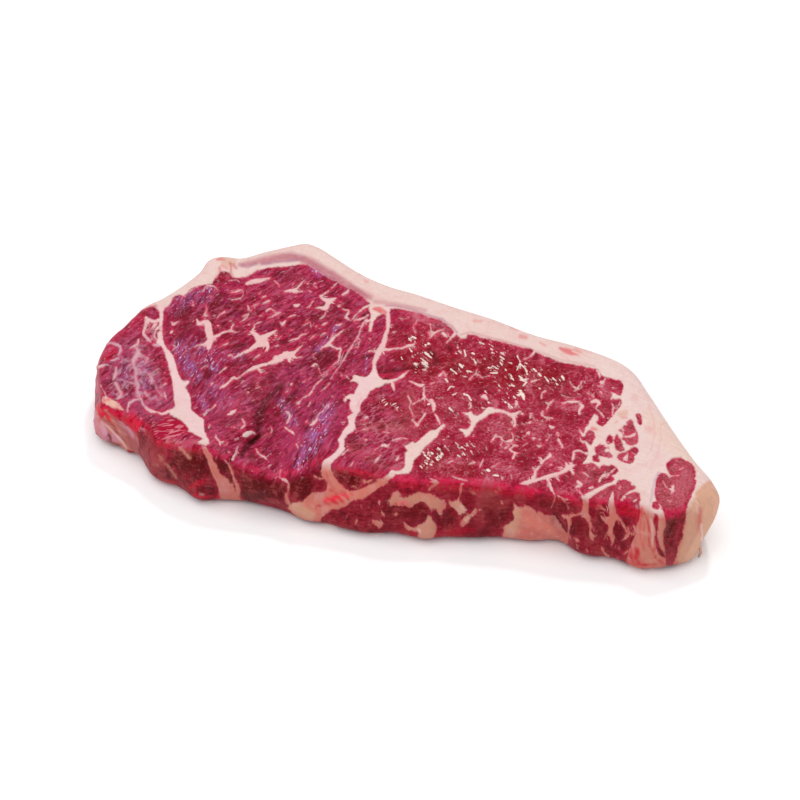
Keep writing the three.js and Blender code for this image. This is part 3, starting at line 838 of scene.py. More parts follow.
577.5,481,2 580,483,4 582.5,485,2 580,485.5,3 577,486.5,2 575.5,488,1.2
588.5,488,2 593,487.5,2.2
580,490,2 579.5,492,1.5 581.5,493,1
613,492,1.5 612,496,3.5 611,500,5.5 611.5,505,6 612.5,510,6.5 613,515,8 611.5,519,12 610.5,524,8 610.5,530,4
    611.5,535,5 613,541,2.5 611.5,545,1.5
619,485,.8 619.5,489,1 621,486,1
637,499.5,2 635,500.5,2 633,502,1.2
627,497.5,1 631,497.5,1.5
668.5,489.5,1 672,489.5,4 675,490,1.2
673.5,484.5,1.2 673,489,3.5 671.5,493.5,1.5
663,481,1 665.5,486,1.5 667,488,1.2 669,489.5,1
671,476.5,1.2 676,476,1 680,475.5,.8
676,465,.8 674,464,1
679,470,1.2 683,468,1.2
659,504,1.2 661,507,1.5 662.5,511,1.8
667,500,.8 670,502,.8
583,497,5 585.5,500,6 585.5,508,6 585,512,6 587.5,517,4.5 590,522.5,3.5 590,530.5,2.5 591,536,3.5
    594,540.5,2
584,512.5,4 581.5,513.5,3 576,514.5,2.5 569,516,3.5 562,515.5,2.5
590.5,525,.8 597,531.5,.8
568,516,4 569.5,522.5,3 569,527,2.5 568.5,532.5,2 568,536,3.5 571,538.5,3
577,541,3 579,541.5,2.5
592,533,1 596,537,.8
589.5,518,1 593,520.5,.8
599.5,514.5,1.5 603,518,4 607,521,6
598.5,505,1 602,508.5,1.5 606.5,511.5,1.5
596,509.5,1 600,508.5,1
616,515,5 621,521,2.5 625,528,2 627,531,2
610.5,530.5,2 606,535,1.2 604,540,.8
633.5,524.5,1.5 636,530,3 634,536,2
628,527,1.5 630,531.5,2.5 627,536,3 623.5,539.5,2.5 620,541,1.5
618.5,547,1.5 620,550,1.5
616,557,1.5 620,560,1.5
623.5,554,1.5 628,551,2
602,548,2 604.5,553,3 609,557,2.5
586.5,549,1.5 588,552,1.5
576,546,1.2 578,549,1.2
555,493,1 556,498,1.5 554,503,1 551,508,1
556,494,1 560,497,1.5 564,499.5,1.8 571,500,1
564,500,1.5 567,504,1.2 569,508,2 569,510,1.5
566,535,2 569,538,3 571,540,2
575,538,2 578,541,3.5
501,501,2.5 502,503,2.5
479.5,510,2.2 480.5,510,2.2
461,486,2.5 461,491,2 459,497,1.5 458,501,1.5
385,500,1.5 391,500,2
379,500,2 380,504,1.5
395.5,514.5,3 396.5,514.5,3
382,512,2 384,516,1.8
373,521,4 377,524,6 382,523,3.5 379,528,2.5
357,519,2.5 356,524,1.5
361,505,1.2 362,509,1
429,490,2 432,487,3 436,483.5,3 439,482,2
411,486,1 413,489,1.5
464,490,.8 472,492.5,1 480,496,.8
362,480,2 366,482,3 371,480,3
350,487,1 354,486,1.5 358,488,1.2 361,486,1
315,476,3 320,478.5,2.5 325,477,3
279,478,1.5 285,480,2.5 289,482,2 288,486,3 288,491,2 286,496,3 287,500,2.5 289,504,3
224,459,1 228,463,1.8 231,468,2.5 233,474,3 235,480,3.5 238,487,4 238,494,5
178,446.5,.8 182,450,1.1 186,454,1.3 189.5,457.5,1
"""

# Specks of light where the surface is wet, in the same form
GLINT_ROUTES = """
412,336,1.6 416,338,1.6
409,338,1.6 410.5,340,1.6
425,345,1.4 426,346,1.4
428,344,1.4 430,345,1.4
425,352,2.2 431,357,2.2
421,358,1.4 428,363,1.4
422,362,1.4 429,366,1.4
409,348,1.3 412,352,1.3
401,357,1.3 402,359,1.3
414,363,1.4 418,363.5,1.4
425,369,1.4 426,370,1.4
460,364,2.2 462,367,2.2
451,369,1.5 453,371,1.5
454.5,372,1.5 457,374,1.5
446,380,1.5 448,382,1.5
467,371,1.6 472,372,1.6
464,350,1.4 466,356,1.4
479,342,1.4 484,344,1.4
472,353,1.4 475,354,1.4
474,359,1.4 476,363,1.4
464,394,1.5 468,396,1.5 471,400,1.5
428,404.5,1.4 431,404,1.4
449,408,1.5 453,411.5,1.5
382,401,1.1 385,399,1.1
385,406,1.1 388,403,1.1
392,405,1.1 396,403,1.1
396,409,1.1 399,407,1.1
424,454,1.8 426,456,1.8
427,457,1.8 429,459,1.8
431,452,1.8 433,454,1.8
436,458,1.8 438,460,1.8
439,456,1.6 441,458,1.6
441,453,1.6 443,455,1.6
438,448,1.5 440,450,1.5
425,462,1.6 427,464,1.6
430,464,1.3 432,465,1.3
420,466,1.3 422,468,1.3
456,443,1.2 458,445,1.2
461,447,1.2 463,448,1.2
466,444,1.2 468,446,1.2
463,453,1.3 465,455,1.3
470,450,1.2 472,452,1.2
457,455,1.2 460,457,1.2
448,390,1.2 450,387,1.2 454,387,1.2
452,395,1.2 456,393,1.2
491,348,1.3 493,350,1.3
500,356,1.5 504,359,1.5
500,362,1.4 502,365,1.4
488,367.5,1.4 491,368,1.4
493,366,1.5 498,369,1.5
491,373,1.5 497,373,1.5
505,369.5,1.4 506,370.5,1.4
511,375,1.6 514,380,1.6
511,385,1.5 514,386,1.5
504.5,402,1.6 505.5,402.5,1.6
488.5,402,1.6 489.5,402.5,1.6
508,404,1.6 510,406,1.6
511.5,406.5,1.6 512.5,407.5,1.6
517,356,1.1 520,362,1.1 519,366,1.1 517,370,1.1
520,364,1.2 525,368,1.2 528,375,1.2
519,376,1.3 524,380,1.3 529,379,1.3
520,380,1.2 527,382,1.2 523,386,1.2
518,395,2.5 522,394,3 524,399,2.5
519,390,1.5 521,391,1.5
485,391,1.3 486,393,1.3
533,369,1.5 536,371,1.5
538,373,1.5 541,376,1.5
545,377,1.4 549,382,1.4
553,378,1.4 556,381,1.4
556,384,1.4 558,385,1.4
562,376,2.2 564,380,2.2
539,388,1.3 541,388.5,1.3
487,470,2.8 490,471,2
493,475,1.8 498,475.5,1.8
"""

# Colours as they look in the photograph, 0 to 255
PALETTE = {
    # Lean
    "left_lean": (162, 34, 68),
    "right_lean": (168, 34, 60),
    "side_lean": (144, 46, 56),
    "tail_lean": (166, 76, 108),
    "dark_lean": (112, 14, 38),
    "plum": (140, 46, 76),
    "crimson": (190, 22, 58),
    "deep_crimson": (154, 12, 40),
    "rim_pink": (226, 50, 88),
    "rim_red": (214, 44, 66),
    "flap_red": (236, 8, 68),
    "rose": (184, 70, 112),
    "nugget_red": (190, 88, 98),
    # Pale web of membrane, and the colour of one painted highlight
    "cobweb": (212, 158, 176),
    "side_rose": (158, 66, 74),
    "lobe_shade": (150, 70, 84),
    "worm_fat": (200, 133, 115),
    "lobe_pink": (204, 130, 147),
    # Near black red, for painted shade in the folds of the left front
    "black_red": (60, 2, 12),
    "brown": (106, 37, 42),
    "dark_brown": (98, 38, 42),
    "grey_brown": (126, 66, 64),
    "matter": (178, 82, 84),
    "membrane": (172, 94, 94),
    "lilac": (170, 120, 178),
    "pink": (218, 112, 132),
    "pale_pink": (226, 160, 168),
    # Fat
    "cap_fat": (240, 209, 202),
    "tail_fat": (241, 212, 206),
    "warm_fat": (240, 210, 194),
    "seam_fat": (243, 206, 206),
    "vein_fat": (240, 194, 193),
    "side_fat": (200, 116, 106),
    "side_cream": (208, 154, 130),
    "salmon": (216, 128, 112),
    "tan": (222, 171, 144),
    "blood": (228, 100, 104),
    "silver_red": (192, 112, 126),
    "silver_grey": (176, 110, 140),
    # Pale flecks of fat, and the colour of several painted highlights
    "white_fleck": (250, 232, 222),
    "cream": (240, 186, 166),
    "blob_fat": (202, 139, 121),
    "cap_side": (236, 200, 186),
    "growth_pink": (232, 178, 172),
    "fat_blush": (236, 180, 176),
    # Dark and light fibres of the lean in each part of the steak
    "left_dark": (116, 10, 38),
    "right_dark": (121, 11, 38),
    "side_dark": (94, 26, 34),
    "left_light": (198, 70, 102),
    "right_light": (211, 116, 135),
    "side_light": (172, 74, 76),
    # What the fibres, membrane and wet surface add, among them painted sheen, shade, light on ridges and
    # glints
    "purple_lean": (138, 38, 82),
    "furrow_shade": (98, 4, 30),
    "ridge_light": (198, 100, 134),
    "fringe_red": (208, 52, 88),
    "web_pink": (212, 132, 146),
    "fleck_pink": (220, 150, 160),
    "sheen_violet": (172, 112, 172),
    "sheen_pearl": (226, 196, 226),
    "haze_lilac": (208, 158, 178),
    "stripe_red": (180, 26, 62),
    "stripe_pale": (230, 138, 150),
    "crevice_shade": (70, 2, 14),
    "wet_furrow_shade": (116, 8, 30),
    "glint": (255, 236, 226),
}

# Tones of the lean, one an entry: colour, strength, softness in pixels, then x,y,width of each point
# Some of these tones are painted light and shade. The darkest red strokes in the grooves, creases and
# hollows of the
# and 637,506 are painted highlights.
# beside the front fat patch are painted shade. The bright pink and red bands along the front edge and along
# the foot
# of the left front are painted light where the rounded edge catches it, and the small pale dabs at 201,495,
# 227,275
# upper face, the near black strokes in the folds of the left front, and the dark brown ones along the lobe's
# folds and
LEAN_TONES = """
tail_lean .8 16 115,345,30 128,370,44 150,398,34
rose .5 16 300,380,20 320,410,40 300,440,30
nugget_red .8 3 683,465,16 678,480,30 672,495,28
plum .5 12 215,420,22 235,405,20
plum .35 14 190,330,20 200,390,24
plum .8 1.5 597,411.5,4 598,413,4
plum .7 1.2 551,431,2 550.5,440,2
matter .6 2 509,419,4 511,428,4 509,436,4
pink .45 2.5 412,314,4 425,319,5 438,325,6 448,334,5
brown .25 6 600,520,20 620,535,20
plum .5 8 280,395,10 300,370,14 315,350,10
dark_lean .55 8 212,298,10 222,310,16 216,322,10
dark_lean .4 8 190,322,14 182,312,8
dark_lean .45 8 236,352,10 250,385,14 262,398,12
dark_lean .5 6 204,309,12 225,304,14 244,311,10
dark_lean .4 5 186,322,12 180,338,9
dark_lean .35 5 256,388,8 274,378,8
dark_lean .35 4 300,366,5 316,356,6 330,352,5
dark_lean .35 8 240,425,10 235,440,8
dark_lean .4 8 300,275,10 280,280,12
dark_lean .45 8 300,330,14 325,310,10 350,335,8
dark_lean .4 8 325,355,10 318,372,12
crimson .35 8 262,350,20 285,345,16
crimson .4 6 225,345,12 240,335,10
crimson 1 3 101,356,8 107,355,12 112,350,8
crimson .6 3 99,371,5 106,374,6
plum .6 5 128,385,8 133,395,7
plum .5 4 142,382,6 148,390,8
crimson .6 5 142,316,5 130,326,8 112,340,8
pale_pink .7 3 97,350,3 95.5,360,4 96,371,5
pink .7 3 97,378,6 98,390,6 99,402,5
rim_pink .45 4 99,348,4 108,338,6 120,326,7 135,313,7 147,306,5
dark_lean .75 8 258,430,3 259,420,4 260,410,5 265,402,5 270,397,3 280,388,2
dark_lean .9 2.5 259,430,2 259,418,2.5 261,410,2.5 266,402,2.5 272,394,2 280,386,1
dark_lean .8 2.5 281,408,1.2 286,402,2 291,396,2 297,389,1
crimson .6 3 292,390,3 298,382,2
crimson .8 2 244,439,3 250,441,3
crimson .75 4 380,373,7 390,375,10 402,373,8 410,369,4
dark_lean .8 1.5 380,370.5,1.5 395,369,2 405,367,2 415,366,1.5 428,365,1.2 440,362,1
dark_lean .7 2 430,350,2.5 434,355,3.5 437,361,2.5
dark_lean .7 2 447,346,1.5 451,350,1.5
matter .6 6 362,426,8 380,427,10 400,428,7
matter .5 8 352,447,10 365,456,12 380,462,9
matter .5 8 408,396,8 414,412,10 400,425,14
deep_crimson .85 10 445,365,14 470,370,22 500,372,26 530,378,22 560,378,10
deep_crimson .6 8 395,345,14 420,345,14 430,365,10
deep_crimson .7 8 380,402,14 396,406,12
deep_crimson .8 7 428,462,10 450,466,12 472,470,8
pink .7 2 393,469,2 398,467,5 403,464,4 406,464,3
pink .7 1.5 491,404,3 495,403,5 494,408,3
pink .6 1.5 529,385,4 529,391,6
pink .6 2 542,357,4 543,362,3
pink .6 2 262,436,2 266,435.5,3 272,435.5,2.5
rim_pink .75 3 205,448,3 225,456,4 240,463,4 255,470,4 270,474,4 282,476,4 292,472,4 302,468,4 312,463,4
    320,459,3
rim_red .8 3 336,467,3 350,470,4 370,474,4 385,476,3
rim_pink .9 2.5 395,478.5,5 420,480,5 450,480.5,5 480,482.5,5 510,486.5,5 540,492,5 575,498,4
rim_pink .8 2 590,498,3.5 606,499.5,3
rim_pink .8 2.5 615,502,4 632,503,4
rim_pink .6 3 665,513,4 685,509,5
rim_red .5 3.5 400,485,4 430,486,4 455,487,4 480,489,4 510,492,4 540,497,4 575,503,4 600,506,3
crimson .9 3 616,508,6 626,510,12 637,512,6
crimson .2 8 395,330,18 425,340,18
flap_red .95 3 100,409,10 108,412,9 117,414,9 127,418,11 136,424,12
flap_red .9 2 98,412,5 102,417,6 106,421,4
crimson .45 4 112,412,7 124,418,9 134,424,7
flap_red .6 4 140,428,12 148,434,10 158,441,7
crimson .8 4 150,424,5 160,438,6 175,443,5 195,444,4
pale_pink .6 1.5 164,442,1.5 176,440.5,1.5 186,441.5,1 200,441,2
pale_pink .6 1.2 166,441.5,1.5 174,440.5,2.5 181,443.5,2.5 186,447,1.5
rim_red .7 2.5 158,442,3 170,445,3.5 182,448,3 195,450,3 204,452,2
dark_brown .5 1.5 106,414,1.5 113,423,1.5 120,432,1.5
dark_brown .6 1.2 108,437,1.2 114,440,1.5 120,441,1.5
side_rose .7 6 142,435,8 148,446,12 156,460,12 168,472,10
brown 1 8 180,462,14 200,462,14 212,470,10
brown 1 4 222,466,9 229,480,8 233,488,6
brown 1 4 245,478,8 250,490,18 270,490,16 284,492,10
brown 1 4 298,486,14 306,484,12 300,494,8
brown 1 4 342,478,9 356,482,9
brown .8 8 395,510,14 420,508,12 445,518,14
brown .5 7 490,509,18 500,520,16
matter .25 6 480,500,10 500,506,12
side_cream .35 .8 468,490,1 478,495,1 488,496,1 496,492,1 502,487,1
brown .6 6 545,500,12 570,507,8
brown .5 8 578,528,12 596,530,14
dark_brown .85 2.5 501,514,3 507,510,4 512,505,4
dark_brown .85 3 553,519,2 558,525,4 562,530,5 566,535,3
grey_brown 1 2.5 675,515,3 671,523,7 668,532,8 665,541,5
dark_brown .8 1 676,517,1.5 671,528,2 666,541,2.5
dark_brown .6 1 681,519,1 676,531,1.5 671,545,1.5
side_rose .5 2 680,522,3 678,532,3 674,545,3
brown .6 1.2 683,520,1.2 681,535,1.2 676,548,1.2
rim_pink .55 3 665,519,3 668,517,3 677,514,3
matter .25 4 670,552,8 670,562,8
crimson .85 2 191,487,3 196,484,5 204,481,3
black_red .5 2.5 191,482,3 196,477,5 200,474,2
black_red .45 2.5 200,490,4 208,488,5 214,488,3
rim_red .8 1.2 194,494,1.5 200,496.5,2.5 210,496.5,1.5 220,497,1
white_fleck .35 .8 200.5,495,1 203,495,.8
crimson .5 3 656,518,4 658,526,3
matter .5 3 152,455,4 158,462,5 162,458,3
side_cream .45 1.5 159,456,1.5 162,459,1.5 160,461,1
side_cream .45 1.2 168,466,1.2 172,471,2.2 176,478,1.8
rim_pink .5 1.2 174,467,1.2 178,475,1.5
side_cream .35 1.2 153,464,1.5 158,466,1.5
side_cream .5 1 164,463,1.2 168.5,465,1.2
rim_pink .35 1.5 164,447,1.5 169,451,2.5 168,457,2
black_red .4 2 160,468,3 166,472,5 172,477,3
black_red .4 3 160,474,6 168,476,5
rim_red .7 1.5 160,480,1.5 168,483,2 175,482.5,1.5
black_red .35 2 174,462,3 178,472,3 181,480,2
black_red .5 2.5 141,432,2 143,440,3 142,448,2
black_red .35 2.5 149,430,2 150,440,3 153,447,2
cobweb .6 1 141,430,1 143,427.5,1.5 145,430,1
side_rose .5 3 147,434,2 149,444,3 152,452,3
blood .7 1.5 170,442.5,1.5 178,446,2 184,451,1.5
blood .6 1.2 176,442,1.5 184,445,1.5 190,449,1.2
side_cream .8 1 178,447,1.5 184,452,2 190,457.5,2
black_red .4 2.5 172,449,2 178,455,3 184,460,2
deep_crimson .7 8 395,350,12 428,372,14
dark_lean .3 12 190,315,22 228,328,24
plum .35 6 125,372,8 128,384,10 132,394,8
crimson .35 5 162,365,8 167,380,8
rose .5 3 148,306,4 154,312,5
nugget_red .6 6 628,425,6 630,440,8 622,446,6
nugget_red .6 5 605,448,6 628,456,8
nugget_red .55 6 580,478,10 596,474,14 606,468,8
nugget_red .55 6 598,495,8 615,490,8 630,485,6 634,498,6
rim_pink .75 2 600,501.5,3 606,502.5,3
matter .35 3 596,521,4 600,527,5
rim_red .6 2 636,506,1.5 638,516,2 638,528,1.5
cobweb .7 1 636.5,505,1.5 637.5,507,1.5
brown .5 4 608,548,6 622,545,8
crimson .45 5 403,535,5 440,534,4 470,530,5
crimson .35 4 220,277,5 228,275,5
pink .7 1.2 226,274,2.5 228,276.5,1.5
"""

# Tones of the fat, in the same form
# Some of these tones are painted light and shade: the dark strokes under the lobe of the left end and along
# its fold
# are painted shade, and the white specks along the membrane's edge there and at the top of the right end's
# facet are
# painted highlights.
FAT_TONES = """
tail_fat 1 14 620,360,40 660,420,60 680,480,50 640,460,30
warm_fat .7 8 650,418,8 664,434,14 680,450,12 695,468,6
seam_fat 1 8 160,310,6 165,350,8 180,390,12 200,430,12
seam_fat 1 6 388,310,6 380,350,8 360,395,12 348,430,10 330,462,10
silver_red .75 4 243,265,2 262,261,4 280,257.5,5 290,256.5,5 300,258,4 312,262,4 330,273,4 350,286.5,4
    370,298,3
silver_red .5 2.5 262,262,2 272,259,3 283,257,3 296,257,3
blood .75 1.2 218,260,2 222,259.5,2.5 225,260.5,1.5
tan .6 3 226,263,7 233,262,5
crimson .7 1 230,263,1 231,268,1.2 231,273,1.2 233,277,1
crimson .6 1 233,264,1.2 235.5,267,1.5 237,269,1
rim_red .6 1.5 219.5,268,1.5 220,274,1.5 216,278,1.5
blood .5 1.2 222,266,1.5 228,269,1.2
silver_grey .55 2 240,265,3 248,267,2 256,264,1.5
silver_grey .7 1.6 262,264.5,1.2 272,263,2.2 281,261.5,1.5 290,261,2.2 300,260,1.5
silver_red .75 3 303,261,4 314,267,5 330,276,5 350,288,4 366,297.5,3
silver_grey .6 1.5 312,267,1.2 322,273,1.8 332,279,1.2 345,287,1.5 358,295,1
silver_grey .6 1.3 386,306,1 400,307,1 412,310,1.2 428,315.5,1.2 443,320,1.2 452,327,1.2 457,333,1
silver_red .45 1.2 460,335,1 470,332.5,1 483,336,1 500,340.5,1 530,348.5,1
silver_red .3 1.2 530,348.5,1 560,360,1 595,366.5,1
silver_red .5 2.5 375,302,3 390,304,2 405,306,2 425,311,1.5
side_fat .9 4 205,450,5 215,466,6 228,485,14 232,498,14
salmon .6 6 327,470,8 330,485,9 345,496,9 360,493,8 385,480,6
salmon .5 6 300,510,10 320,504,16 335,500,10
flap_red .9 2 324,500,2 334,497.5,3.5 343,495.5,2
flap_red .8 1.5 343,495.5,1.5 352,494,1
crimson .8 1.5 316,507,1 326,503,1.5 336,502,1.5 348,499,1
crimson .7 1.5 330,489,1 337,493,1.5 345,492,1
crimson .4 2 327,474,1 329,482,1.5 334,488,1
side_cream .9 5 295,506,8 310,515,7
worm_fat 1 3 392,500,8 410,497,8 437,503,10
blood .9 1.5 396,502.5,1.5 401,502,2.5 406,500.5,2.5
crimson .7 .8 394,504,.8 397,503.5,.8
crimson .7 .8 401,504.5,.8 407,504,.8
silver_red .6 1.2 439,500.5,1 444,502,1.5
blob_fat 1 3 410,529,3 430,520,10 427,534,14
white_fleck .7 1 419,530,1.2 420,531,1.2
blob_fat 1 3 457,505,14 470,518,8
white_fleck .15 1.5 461,505,2 464,510,1.5
white_fleck .2 1 465,521,1 472,513.5,1
side_cream .85 8 515,512,6 511,528,10
side_fat .8 5 522,536,6 540,536,6 558,536,5
salmon .7 5 528,518,6 540,524,8 552,530,6
blood .5 1 518,524,.6 526,524,.8 536,527,.6 547,530,.6
blood .4 1 527,514,.6 536,520,.8 550,526,.6
blood .4 1 520,531,.6 533,533,.8 545,536,.6
side_fat 1 3 584,502,6 585,515,6 590,530,4 610,505,6 612,530,8
worm_fat .65 4 647,516,8 646,530,10 644,548,10 652,560,10 661,550,5 662,525,4
crimson .5 .8 648,516,1 649,530,1.2 650,545,1.2 656,558,1
crimson .4 .8 644,520,.8 645,535,1 644,550,1
crimson .7 1 631,545,1.5 632,554,1.5
crimson .75 1 638,549,2 639,555,1.5 637,558,2
crimson .7 1.2 628,561,2.5 634,563,2 640,562,1
crimson .5 1 645,564,2 655,564,1.5
crimson .5 1 659,559,1.5 662,563,2
crimson .45 .8 639,508,1 641,520,1 640,532,1 642,545,1
crimson .4 .8 653,538,.8 655,547,1 654,555,.8
rim_red .6 2 642,507,2 643,514,2
crimson .6 .8 645,512,.8 648,523,1 650,532,.8 649,545,.8
white_fleck .3 1.2 651,520,1 653,532,1.2 652,545,1
crimson .5 .8 655,557,.8 662,562,.8
crimson .8 1.2 635,546,1.5 637,551,2.5 635,557,2
crimson .75 1.2 629,551,1.5 630,556,2.5 633,560,2
crimson .7 1.2 633,562,2 640,564,2.5 646,564,1.5
blood .4 1 640,515,.8 642,530,.8 641,545,.8
membrane 1 3 112,412,4 122,422,9 129,432,10 135,444,9 140,454,8
flap_red .9 1.5 103,410,3 107,414,3 110,419,3
dark_lean .5 1.2 105,413,1 110,421,1.5 116,429,1.5 122,437,1.5 127,444,1
side_rose .5 2 103,418,2 110,424,3 117,432,3
cobweb .55 1.5 128,426,2 133,435,2.5
lobe_pink .5 2 120,421,3 128,428,3 134,437,2.5
lobe_pink 1 3 95,418,6 99,428,7 106,437,6 118,438,4
salmon .35 3 100,424,3 102,434,3
cobweb .8 1.5 95,412,2 94.5,419,2.5 96,426,1.5
cobweb .8 1.2 103,422,1.5 104,428,2.5 107,433,2
silver_red .6 1.2 107,427,1 109,431,1.5 111,434,1
dark_lean .9 1.5 109,434,1 111,437,2 110,441,1.5
dark_brown 1 1.5 107,443,2 113,444.5,3 120,446,3
flap_red .8 1.2 110,444,2 113,445,1.5
flap_red .7 1.2 126,449.5,2 129,451,2
lobe_pink 1 1.2 113.5,436,3 117,439,3.5 120,441,2
white_fleck .4 1 106,424,1 112,429.5,1.2 118,436.5,1.2 124,443.5,1.2 127,448,1
lobe_shade .5 1.5 98,432,1.5 103,438,1.5
side_cream 1 4 692,512,8 690,540,12 682,558,8
tan 1 3 694,506,8 700,498,11 706,490,10 709,485,6
tan 1 4 706,495,8 708,515,10 706,530,8
tan 1 3 700,499,8 709,492,10 714,500,12 713,511,12 708,527,12 700,543,12 691,558,10
cream .5 2 713,494,2 717,502,2.5 714,514,2
tan .9 1.5 700,546,4 698,557,4
white_fleck .35 2.5 690,502,3 694,496,2
blood .4 1 698,502,.8 699,512,.8 699.5,525,.8 701,537,.8
white_fleck .4 1 697,502,1 697.5,512,.8
white_fleck .45 1 701,524,1 702,534,1.2 701,540,.8
blood .8 2 560,349,1.5 566,351,4 572,353,5 578,354,2
blood .5 2 575,349,1 581,353,1.5
white_fleck .6 1 573,351.5,1 581,355,1.2
blood .5 2 520,337,3 526,338,2
blood .8 2 592,429,2 596,430,1.5
tan .6 3 620,415,4 625,413,4
blood .4 2 622,418,1 626,418,1
blood .35 1.5 615.5,423,1 617.5,422,1
blood .2 4 634,398,4 635,399,4
blood .5 1.2 359,274,1.5 361,275.5,1.5
blood .4 1.2 365,281,1.5 367,283,1.5
blood .35 1.5 474,321,2 481,322,2
blood .35 1.5 511,328,1.5 516,331,1.5
blood .35 1.5 540,343,1.5 545,346,1.5
blood .25 4 648,429,4 650,430,4
blood .22 1 648,405,.8 654,420,.8 655,435,.8 650,452,.8
blood .18 1 661,425,.8 661,440,.8 656,458,.8 649,470,.8
lilac .35 1.5 650,503,1.2 652,495,1.2 653,487,1.2 655,480,1.2 658,473,1.2
cream .9 2.5 103,402,6 112,403,6 120,408,4
blood .8 1.5 101,398,2 105,399.5,3 110,399,1.5
blood .6 1.5 117,408,1.5 123,412,2
silver_red .6 1.5 100,401,1.5 100,404,1.5
blood .4 1.5 232,265,1 236,269,1
crimson .5 2 155,306,2 157,314,2
crimson .45 1 378,311,1.5 381,313,1.5
blood .9 1.5 374,309,2 380,310,4 385,313,3
blood .35 1.2 361,398,.8 357,408,.8
"""

# Tones of the marbling and the thin seams
# The white patch beside the cleft is painted light that brightens fat lying on a shaded slope.
VEIN_TONES = """
cobweb .9 14 112,345,20 125,370,30 145,390,30 150,350,20
white_fleck .6 3 244,436,5 250,433,5
cobweb .6 8 360,330,8 345,355,10 330,375,10
"""

# Violet sheen of the moist lean: strength and softness, then x,y,width of each point
SHEEN_ROUTES = """
1 6 328,408,8 321,424,13 314,440,15 306,454,11 298,465,5
.6 5 202,398,5 206,408,6
.6 5 205,352,8 225,355,8 240,356,5
.7 5 282,402,5 288,412,7 292,422,6
.9 6 180,346,8 186,362,12 194,376,10
.8 6 198,345,8 206,358,10 214,366,8
.5 8 175,308,8 186,300,10 205,296,10
.4 8 215,385,14 225,400,12
.8 3 312,268,3 320,276,4
.7 3 203,292,4 210,290,6 203,299,4
.8 3 318,350,3 330,335,4 338,325,2
.7 1.5 354,351,1.5 352,360,1.5
.7 1.5 368,352,1 365,372,1.5
.6 4 125,366,5 123,380,5
.7 4 143,365,6 147,380,6 145,388,4
"""

# Pale lilac haze of thin membrane on the left end: strength and softness, then x,y,width of each point
HAZE_ROUTES = """
.6 7 124,362,10 125,378,16 119,394,10
.7 8 140,352,8 137,370,10 140,392,10
.6 8 148,362,8 152,378,12 154,396,8
.5 5 147,322,6 150,334,6
"""

# How much of the pale network between the bundles shows: strength and softness, then x,y,width of each point
WEB_ROUTES = """
.6 12 390,440,40 370,425,30
.12 12 455,345,16 480,370,30 520,375,40 560,378,16
.15 8 395,330,14 440,340,14
.6 4 416,314,6 432,320,10 446,330,10
"""

# Wet parts with fine specks of light: strength and softness, then x,y,width of each point
WET_ROUTES = """
.9 8 412,340,10 425,355,16 418,366,12
.7 8 384,402,8 396,407,8
.8 10 455,350,10 470,365,16 455,390,12
.9 10 490,350,14 515,370,26 505,395,24 522,395,14
.7 10 540,372,12 560,380,12
.5 10 575,385,14 595,392,8
.9 8 425,460,16 438,452,14
.8 8 458,448,14 470,450,14
.5 8 470,470,8 495,472,8
.3 30 440,410,20 520,430,40
"""

# Where the fibres run steeply in the photograph: strength and softness, then x,y,width of each point
STEEP_ROUTES = """
1 20 185,340,20 200,375,30 215,400,20
1 20 330,400,20 315,440,30 300,460,20
1 14 270,400,10 290,385,10
"""

# Fine pale ridges of sinew on the left end: strength and softness, then x,y,width of each point
STRIPE_ROUTES = """
1 3 157,432,7 168,429,20 185,427,11
"""

# Crevices that no light reaches: strength and softness, then x,y,width of each point
SHADE_ROUTES = """
1 1.5 259.5,434,2 256,438,5.5 251,442,5.5
.75 2 249,443.5,5 245.5,448,5 243,452,3.5 242,456,1.5
.5 5 258,432,2.5 258,420,6 260,410,7 265,402,5 271,395,3 280,386,1.5
.4 2 282,408,1.5 287,402,2.5 292,396,2 297,389,1
.4 1.5 380,370.5,1.5 395,369,2 405,367,2 415,366,1.5 428,365,1.2 440,362,1
.4 2 430,350,2.5 434,355,3.5 437,361,2.5
.4 1.5 447,346,1.5 451,350,1.5
"""

# Grooves and ridges of the surface, in millimetres: height, softness in pixels, then x,y,width of each point
RELIEF_ROUTES = """
-.7 8 258,430,3 259,420,4 260,410,4 265,402,4 270,397,3 280,388,2
-.3 5 283,407,2 287,402,2 291,396,2 296,390,1
-.9 3 380,371,2 395,369,3 405,367,3 415,366,2 428,365,1.5 440,362,1
-.6 3 430,350,2 434,355,3 437,361,2
.5 4 430,344,5 438,350,5
-1.4 3 553,519,2 558,525,5 562,531,6 566,536,4
.6 4 517,512,6 530,520,14 548,525,12 560,532,6
.9 3 104,407,5 112,409,5 120,414,7 130,420,8 140,428,7
.8 3 98,420,4 100,430,5 105,436,4
-.5 3 670,516,2 668,530,3 664,542,2
.5 3 392,500,5 397,495,5 410,497,5 425,498,7 437,503,8
.5 3 430,520,6 427,532,8
-.6 3 480,408,3 487,404,3
"""


def numbers(text):
    """Rows of numbers from text such as "1,2,3 4,5,6"."""
    return np.array([[float(value) for value in word.split(",")] for word in text.split()])


def lines_of(block):
    """The lines of a block. A line that starts with spaces goes on from the line above it."""
    return block.strip().replace("\n    ", " ").splitlines()


def route_of(line):
    """The strength or height, the softness and the points of a route."""
    strength, softness, points = line.split(" ", 2)
    return float(strength), float(softness), numbers(points)


def mixed(a, b, share):
    """The share of the way from a to b."""
    return a + (b - a) * share


